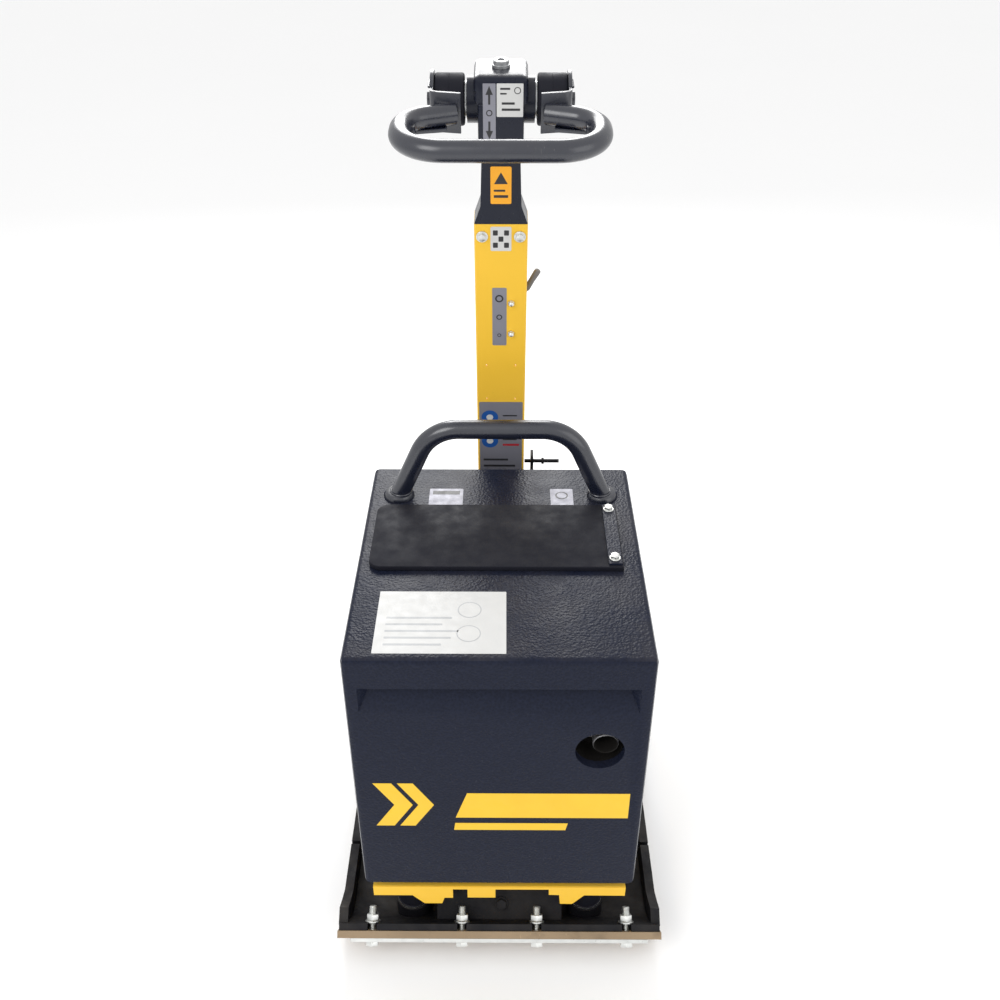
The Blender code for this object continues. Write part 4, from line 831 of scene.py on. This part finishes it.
class AddDrawbar(Piece):
    """Add the folded drawbar and the fasteners in its face"""
    bl_idname = "compactor.drawbar"
    bl_label = "Drawbar"

    def execute(self, context):
        refined("drawbar_channel", sizes().sheet_edge)
        refined("throttle_quadrant", 0.0004)
        for side, x in (("left", -0.027), ("right", 0.027)):
            spot = DRAWBAR @ Matrix.Translation((x, -0.0205, 0.757)) @ FACE_FRONT
            bolt = turned([(0, 0), (0.0085, 0), (0.0085, 0.0016), (0.0079, 0.0022), (0, 0.0022)])
            absorb(bolt, hex_head(0.0058, 0.0037, 0.0006), place=Matrix.Translation((0, 0, 0.0021)))
            absorb(bolt, threaded(0.0037, -0.0225, 0.0005, 0.00125))
            build(f"drawbar_bolt_{side}_body", bolt, ["zinc"], "drawbar", [f"drawbar_bolt_{side}"],
                  place=spot)
        for name, z in (("lower", 0.5977), ("upper", 0.650)):
            spot = DRAWBAR @ Matrix.Translation((0.0155, -0.0205, z)) @ FACE_FRONT
            nut = turned([(0, 0.0022), (0.0044, 0.0022), (0.0043, 0.0040), (0.0034, 0.0060),
                          (0.0019, 0.0072), (0, 0.0075)])
            absorb(nut, hex_head(0.0052, 0.0030, 0.0005))
            build(f"throttle_nut_{name}_body", nut, ["zinc"], "drawbar", [f"throttle_nut_{name}"],
                  place=spot)
        return {"FINISHED"}


class AddDrawbarLabels(Piece):
    """Add the labels on the drawbar's face and neck"""
    bl_idname = "compactor.drawbar_labels"
    bl_label = "Drawbar labels"

    def execute(self, context):
        thick = sizes().label_thick
        face = DRAWBAR @ Matrix.Translation((0, -0.02015, 0)) @ FACE_FRONT
        tile = [(rounded_label(-0.015, 0.7345, 0.015, 0.7720), "label_white", thick)]
        for row in range(3):
            for column in range(3):
                if (row + column) % 2 == 0:
                    x, z = -0.0115 + 0.0080 * column, 0.7395 + 0.0095 * row
                    tile.append((rounded_label(x, z, x + 0.0070, z + 0.0080, 0.0010), "label_black",
                                 thick * 1.3))
        label("small_tile", tile, "drawbar", face)
        throttle = [(rounded_label(-0.0130, 0.5760, 0.0085, 0.6750), "label_silver", thick)]
        for z, radius in ((0.594, 0.0030), (0.6255, 0.0045), (0.657, 0.0062)):
            throttle += [(disc(-0.0025, z, radius), "label_black", thick * 1.3),
                         (disc(-0.0025, z, radius * 0.62), "label_silver", thick * 1.6)]
        label("throttle_label", throttle, "drawbar", face)
        lower = [(rounded_label(-0.035, 0.300, 0.035, 0.4700), "label_silver", thick)]
        for z in (0.440, 0.392):
            lower += [(disc(-0.018, z, 0.0135), "label_blue", thick * 1.3),
                      (disc(-0.018, z, 0.0055), "label_white", thick * 1.6),
                      (rounded_label(0.003, z - 0.010, 0.030, z - 0.006, 0.0008), "label_red",
                       thick * 1.3),
                      (rounded_label(0.003, z + 0.002, 0.026, z + 0.0045, 0.0008), "label_black",
                       thick * 1.3)]
        for row in range(4):
            z = 0.312 + 0.013 * row
            lower.append((rounded_label(-0.029, z, 0.012 + 0.006 * (row % 3), z + 0.0040, 0.0008),
                          "label_black", thick * 1.3))
        label("lower_label", lower, "drawbar", face)
        neck = DRAWBAR @ Matrix.Translation((0, -0.0196, 0)) @ FACE_FRONT
        orange = [(rounded_label(-0.0145, 0.806, 0.0145, 0.860), "label_orange", thick),
                  ([(-0.0095, 0.835), (0.0095, 0.835), (0.0, 0.852)], "label_black", thick * 1.3),
                  (rounded_label(-0.010, 0.815, 0.010, 0.819, 0.0008), "label_black", thick * 1.3),
                  (rounded_label(-0.010, 0.824, 0.006, 0.827, 0.0008), "label_black", thick * 1.3)]
        label("neck_label", orange, "drawbar", neck)
        return {"FINISHED"}


class AddControlHead(Piece):
    """Add the head casting with its plug and direction label"""
    bl_idname = "compactor.control_head"
    bl_label = "Control head"

    def execute(self, context):
        refined("control_head", 0.0014, 3, "head_paint")
        base = 0.9863
        plug = turned([(0, 0.0040), (0.0052, 0.0040), (0.0052, 0.0093), (0.0095, 0.0093),
                       (0.0105, 0.0085), (0.0105, 0.0040), (0.0118, 0.0035), (0.0118, 0.0),
                       (0.0072, 0.0), (0.0072, -0.0100), (0, -0.0100)], 6 * 8)
        build("filler_plug_body", plug, ["steel"], "drawbar", ["filler_plug"],
              place=DRAWBAR @ Matrix.Translation((0, 0, base)))
        pad = block((-0.0300, -0.0360, 0.8960), (0.0300, -0.0320, 0.9500), 0.0022, 4)
        build("head_face", pad, ["head_paint"], "drawbar", place=DRAWBAR)
        thick = sizes().label_thick
        face = DRAWBAR @ Matrix.Translation((0, -0.0361, 0)) @ FACE_FRONT
        white = [(rounded_label(-0.0055, 0.9340, 0.0290, 0.9770, 0.001), "label_white", thick)]
        for left, low, right, high in ((-0.0010, 0.9690, 0.0120, 0.9715), (-0.0010, 0.9630, 0.0075, 0.9650),
                                       (0.0010, 0.9420, 0.0250, 0.9450), (0.0010, 0.9500, 0.0180, 0.9530)):
            white.append((rounded_label(left, low, right, high, 0.0006), "label_black", thick * 1.3))
        white += [(disc(0.0215, 0.9680, 0.0045), "label_black", thick * 1.3),
                  (disc(0.0215, 0.9680, 0.0034), "label_white", thick * 1.6)]
        label("head_label", white, "drawbar", face)
        arrows = [(rounded_label(-0.0235, 0.9010, -0.0068, 0.9770, 0.001), "label_silver", thick),
                  ([(-0.0200, 0.9625), (-0.0104, 0.9625), (-0.0152, 0.9740)], "label_black", thick * 1.3),
                  (rounded_label(-0.0166, 0.9500, -0.0138, 0.9630, 0.0004), "label_black", thick * 1.3),
                  (disc(-0.0152, 0.9390, 0.0042), "label_black", thick * 1.3),
                  (disc(-0.0152, 0.9390, 0.0028), "label_silver", thick * 1.6),
                  (rounded_label(-0.0166, 0.9150, -0.0138, 0.9280, 0.0004), "label_black", thick * 1.3),
                  ([(-0.0200, 0.9155), (-0.0152, 0.9040), (-0.0104, 0.9155)], "label_black", thick * 1.3)]
        label("direction_label", arrows, "drawbar", face)
        return {"FINISHED"}


class AddThrottle(Piece):
    """Add the throttle lever with its grey grip"""
    bl_idname = "compactor.throttle"
    bl_label = "Throttle lever"

    def execute(self, context):
        spot = DRAWBAR @ Matrix.Translation((0.0155, 0.0010, 0.6237)) @ Matrix.Rotation(
            math.radians(-61), 4, "Y")
        lever = turned([(0.0044, 0.0), (0.0086, 0.0), (0.0090, 0.0006), (0.0090, 0.0069),
                        (0.0086, 0.0075), (0.0044, 0.0075), (0.0044, 0.0)])
        bmesh.ops.transform(lever, matrix=FACE_FRONT, verts=lever.verts)
        for face in lever.faces:
            face.material_index = 1
        absorb(lever, block((0.0062, -0.0055, -0.0035), (0.0520, -0.0020, 0.0035), 0.0006), 1)
        grip = turned([(0, 0), (0.0036, 0), (0.0048, 0.0012), (0.0050, 0.004), (0.0044, 0.018),
                       (0.0050, 0.032), (0.0046, 0.0358), (0.0030, 0.0370), (0, 0.0370)], 32)
        absorb(lever, grip, 0, Matrix.Translation((0.045, -0.0038, 0)) @ FACE_RIGHT)
        build("throttle_lever_body", lever, ["grey_grip", "steel"], "throttle",
              ["throttle_lever"], place=spot)
        return {"FINISHED"}


class AddTravelBow(Piece):
    """Add the bow that sets the direction of travel, on its rubber cylinders"""
    bl_idname = "compactor.travel_bow"
    bl_label = "Travel bow"

    def execute(self, context):
        for side, name in ((-1, "left"), (1, "right")):
            self.rubber(side, name)
        self.bow()
        refined("cross_shaft", 0.0005)
        return {"FINISHED"}

    def rubber(self, side, name):
        node = f"handle_rubber_{name}"
        low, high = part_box(node)
        half, radius, bore = (high.x - low.x) / 2, sizes().handle_rubber, 0.0106
        profile = [(bore, -half), (radius - 0.0030, -half), (radius - 0.0010, -half + 0.0008),
                   (radius, -half + 0.0028), (radius, -0.0006), (radius - 0.0004, 0.0),
                   (radius, 0.0006), (radius, half - 0.0028), (radius - 0.0010, half - 0.0008),
                   (radius - 0.0030, half), (bore, half), (bore, -half)]
        spot = DRAWBAR @ Matrix.Translation(((low.x + high.x) / 2, CROSS.y, CROSS.z)) @ FACE_RIGHT
        build(f"{node}_body", turned(profile, 72), ["rubber"], "travel_bow", [node], place=spot)

    def bow(self):
        half, radius = 0.1265, sizes().handle_tube
        front, y, z = CROSS.y - 0.176, CROSS.y, CROSS.z
        start = [(0.060, y - 0.052, z), (half, y - 0.076, z), (half, front, z)]
        corners = [Vector((-a, b, c)) for a, b, c in start] + [Vector(point) for point in start[::-1]]
        bow = tube(round_corners(corners, [0, 0.045, 0.058, 0.058, 0.045, 0], 14, closed=False), radius)
        face, plate = 0.0880, 0.005
        for side in (-1, 1):
            end_disc = turned([(0, 0), (0.0366, 0), (0.0370, 0.0004), (0.0370, plate - 0.0008),
                               (0.0362, plate), (0, plate)], 64)
            low = min(side * face, side * (face + plate))
            absorb(bow, end_disc, place=Matrix.Translation((low, y, z)) @ FACE_RIGHT)
            nut = hex_head(0.0100, 0.0055)
            turn = FACE_RIGHT if side > 0 else Matrix.Rotation(math.pi, 4, "Z") @ FACE_RIGHT
            absorb(bow, nut, place=Matrix.Translation((side * (face + plate), y, z)) @ turn)
            outer = [(face + plate - 0.0005, y - 0.004, 0), (face + plate - 0.0005, y - 0.047, 0),
                     (0.052, y - 0.054, 0), (0.052, y - 0.048, 0)]
            inner = [(face + 0.0005, y - 0.041, 0), (face + 0.0005, y - 0.004, 0)]
            wrap = round_corners(outer + inner, [0, 0.012, 0, 0, 0.006, 0], 8)
            plate_piece = slab([(side * point[0], point[1]) for point in wrap], 0.052, 0.0006)
            absorb(bow, plate_piece, place=Matrix.Translation((0, 0, z - 0.026)))
            seam = [Vector((side * (face + plate + 0.0006), y - 0.030 + 0.0024 * k, z + 0.0262))
                    for k in range(12)]
            absorb(bow, weld_bead(seam, 0.0018))
            under = z - radius - 0.0035
            strap = [(side * 0.070, y - 0.062), (side * 0.108, y - 0.070), (side * 0.112, y - 0.079),
                     (side * 0.070, y - 0.071)]
            absorb(bow, slab(strap, 0.005, 0.0006), place=Matrix.Translation((0, 0, under)))
            stop = sorted((side * 0.1085, side * 0.1145))
            absorb(bow, block((stop[0], y - 0.104, z - 0.0150), (stop[1], y - 0.072, z + 0.0020), 0.0012))
        build("travel_bow_tube", bow, ["bow_paint"], "travel_bow", ["handle_bow"],
              place=DRAWBAR)


class AddStage(Piece):
    """Add the floor, the lights and the camera"""
    bl_idname = "compactor.stage"
    bl_label = "Stage"

    def execute(self, context):
        scene = context.scene
        surface = Surface("studio_floor", 0.85)
        surface.paint(surface.blend(surface.noise(0.8, 2.0), (0.95, 0.95, 0.95), (0.97, 0.97, 0.97)))
        bm = bmesh.new()
        bmesh.ops.create_grid(bm, x_segments=1, y_segments=1, size=FLOOR_HALF)
        mesh = bpy.data.meshes.new("studio_floor")
        bm.to_mesh(mesh)
        bm.free()
        mesh.materials.append(surface.material)
        floor = bpy.data.objects.new("studio_floor", mesh)
        scene.collection.objects.link(floor)
        floor.location.z = CAD_BOX[0][2] - 0.0002
        world = scene.world or bpy.data.worlds.new("studio")
        scene.world = world
        world.use_nodes = True
        world.node_tree.nodes["Background"].inputs["Color"].default_value = (1.0, 1.0, 1.0, 1.0)
        world.node_tree.nodes["Background"].inputs["Strength"].default_value = WORLD_LIGHT
        for name, place, size, power in LAMPS:
            light = bpy.data.lights.new(name, "AREA")
            light.energy, light.size = power, size
            lamp = bpy.data.objects.new(name, light)
            lamp.location = place
            lamp.rotation_euler = (LAMPS_AIM - Vector(place)).to_track_quat("-Z", "Y").to_euler()
            scene.collection.objects.link(lamp)
        lens = bpy.data.cameras.new("camera")
        lens.lens, lens.sensor_width = LENS, SENSOR
        camera = bpy.data.objects.new("camera", lens)
        camera.location = CAMERA_PLACE
        camera.rotation_euler = CAMERA_TURN
        scene.collection.objects.link(camera)
        scene.camera = camera
        scene.view_settings.view_transform = "Standard"
        return {"FINISHED"}


BUILD_ORDER = (AddStage, AddFinishes, AddPlate, AddExciter, AddBuffers, AddConsole, AddEngine, AddHood,
               AddHoodLabels, AddFlap, AddLiftingBow, AddDrawbar, AddDrawbarLabels, AddControlHead,
               AddThrottle, AddTravelBow)


class CompactorPanel(bpy.types.Panel):
    """The compactor's pieces, in the order they are built"""
    bl_idname = "VIEW3D_PT_compactor"
    bl_label = "Plate compactor"
    bl_space_type = "VIEW_3D"
    bl_region_type = "UI"
    bl_category = "Compactor"

    def draw(self, context):
        for group in (context.scene.compactor_colours, context.scene.compactor_sizes):
            for name in group.__annotations__:
                self.layout.prop(group, name)
        for operator in BUILD_ORDER:
            self.layout.operator(operator.bl_idname)


CLASSES = (CompactorColours, CompactorSizes, *BUILD_ORDER, CompactorPanel)


def register():
    for cls in CLASSES:
        bpy.utils.register_class(cls)
    bpy.types.Scene.compactor_colours = PointerProperty(type=CompactorColours)
    bpy.types.Scene.compactor_sizes = PointerProperty(type=CompactorSizes)


def unregister():
    del bpy.types.Scene.compactor_sizes
    del bpy.types.Scene.compactor_colours
    for cls in reversed(CLASSES):
        bpy.utils.unregister_class(cls)


def main():
    register()
    for operator in BUILD_ORDER:
        group, name = operator.bl_idname.split(".")
        getattr(getattr(bpy.ops, group), name)()


if __name__ == "__main__":
    main()
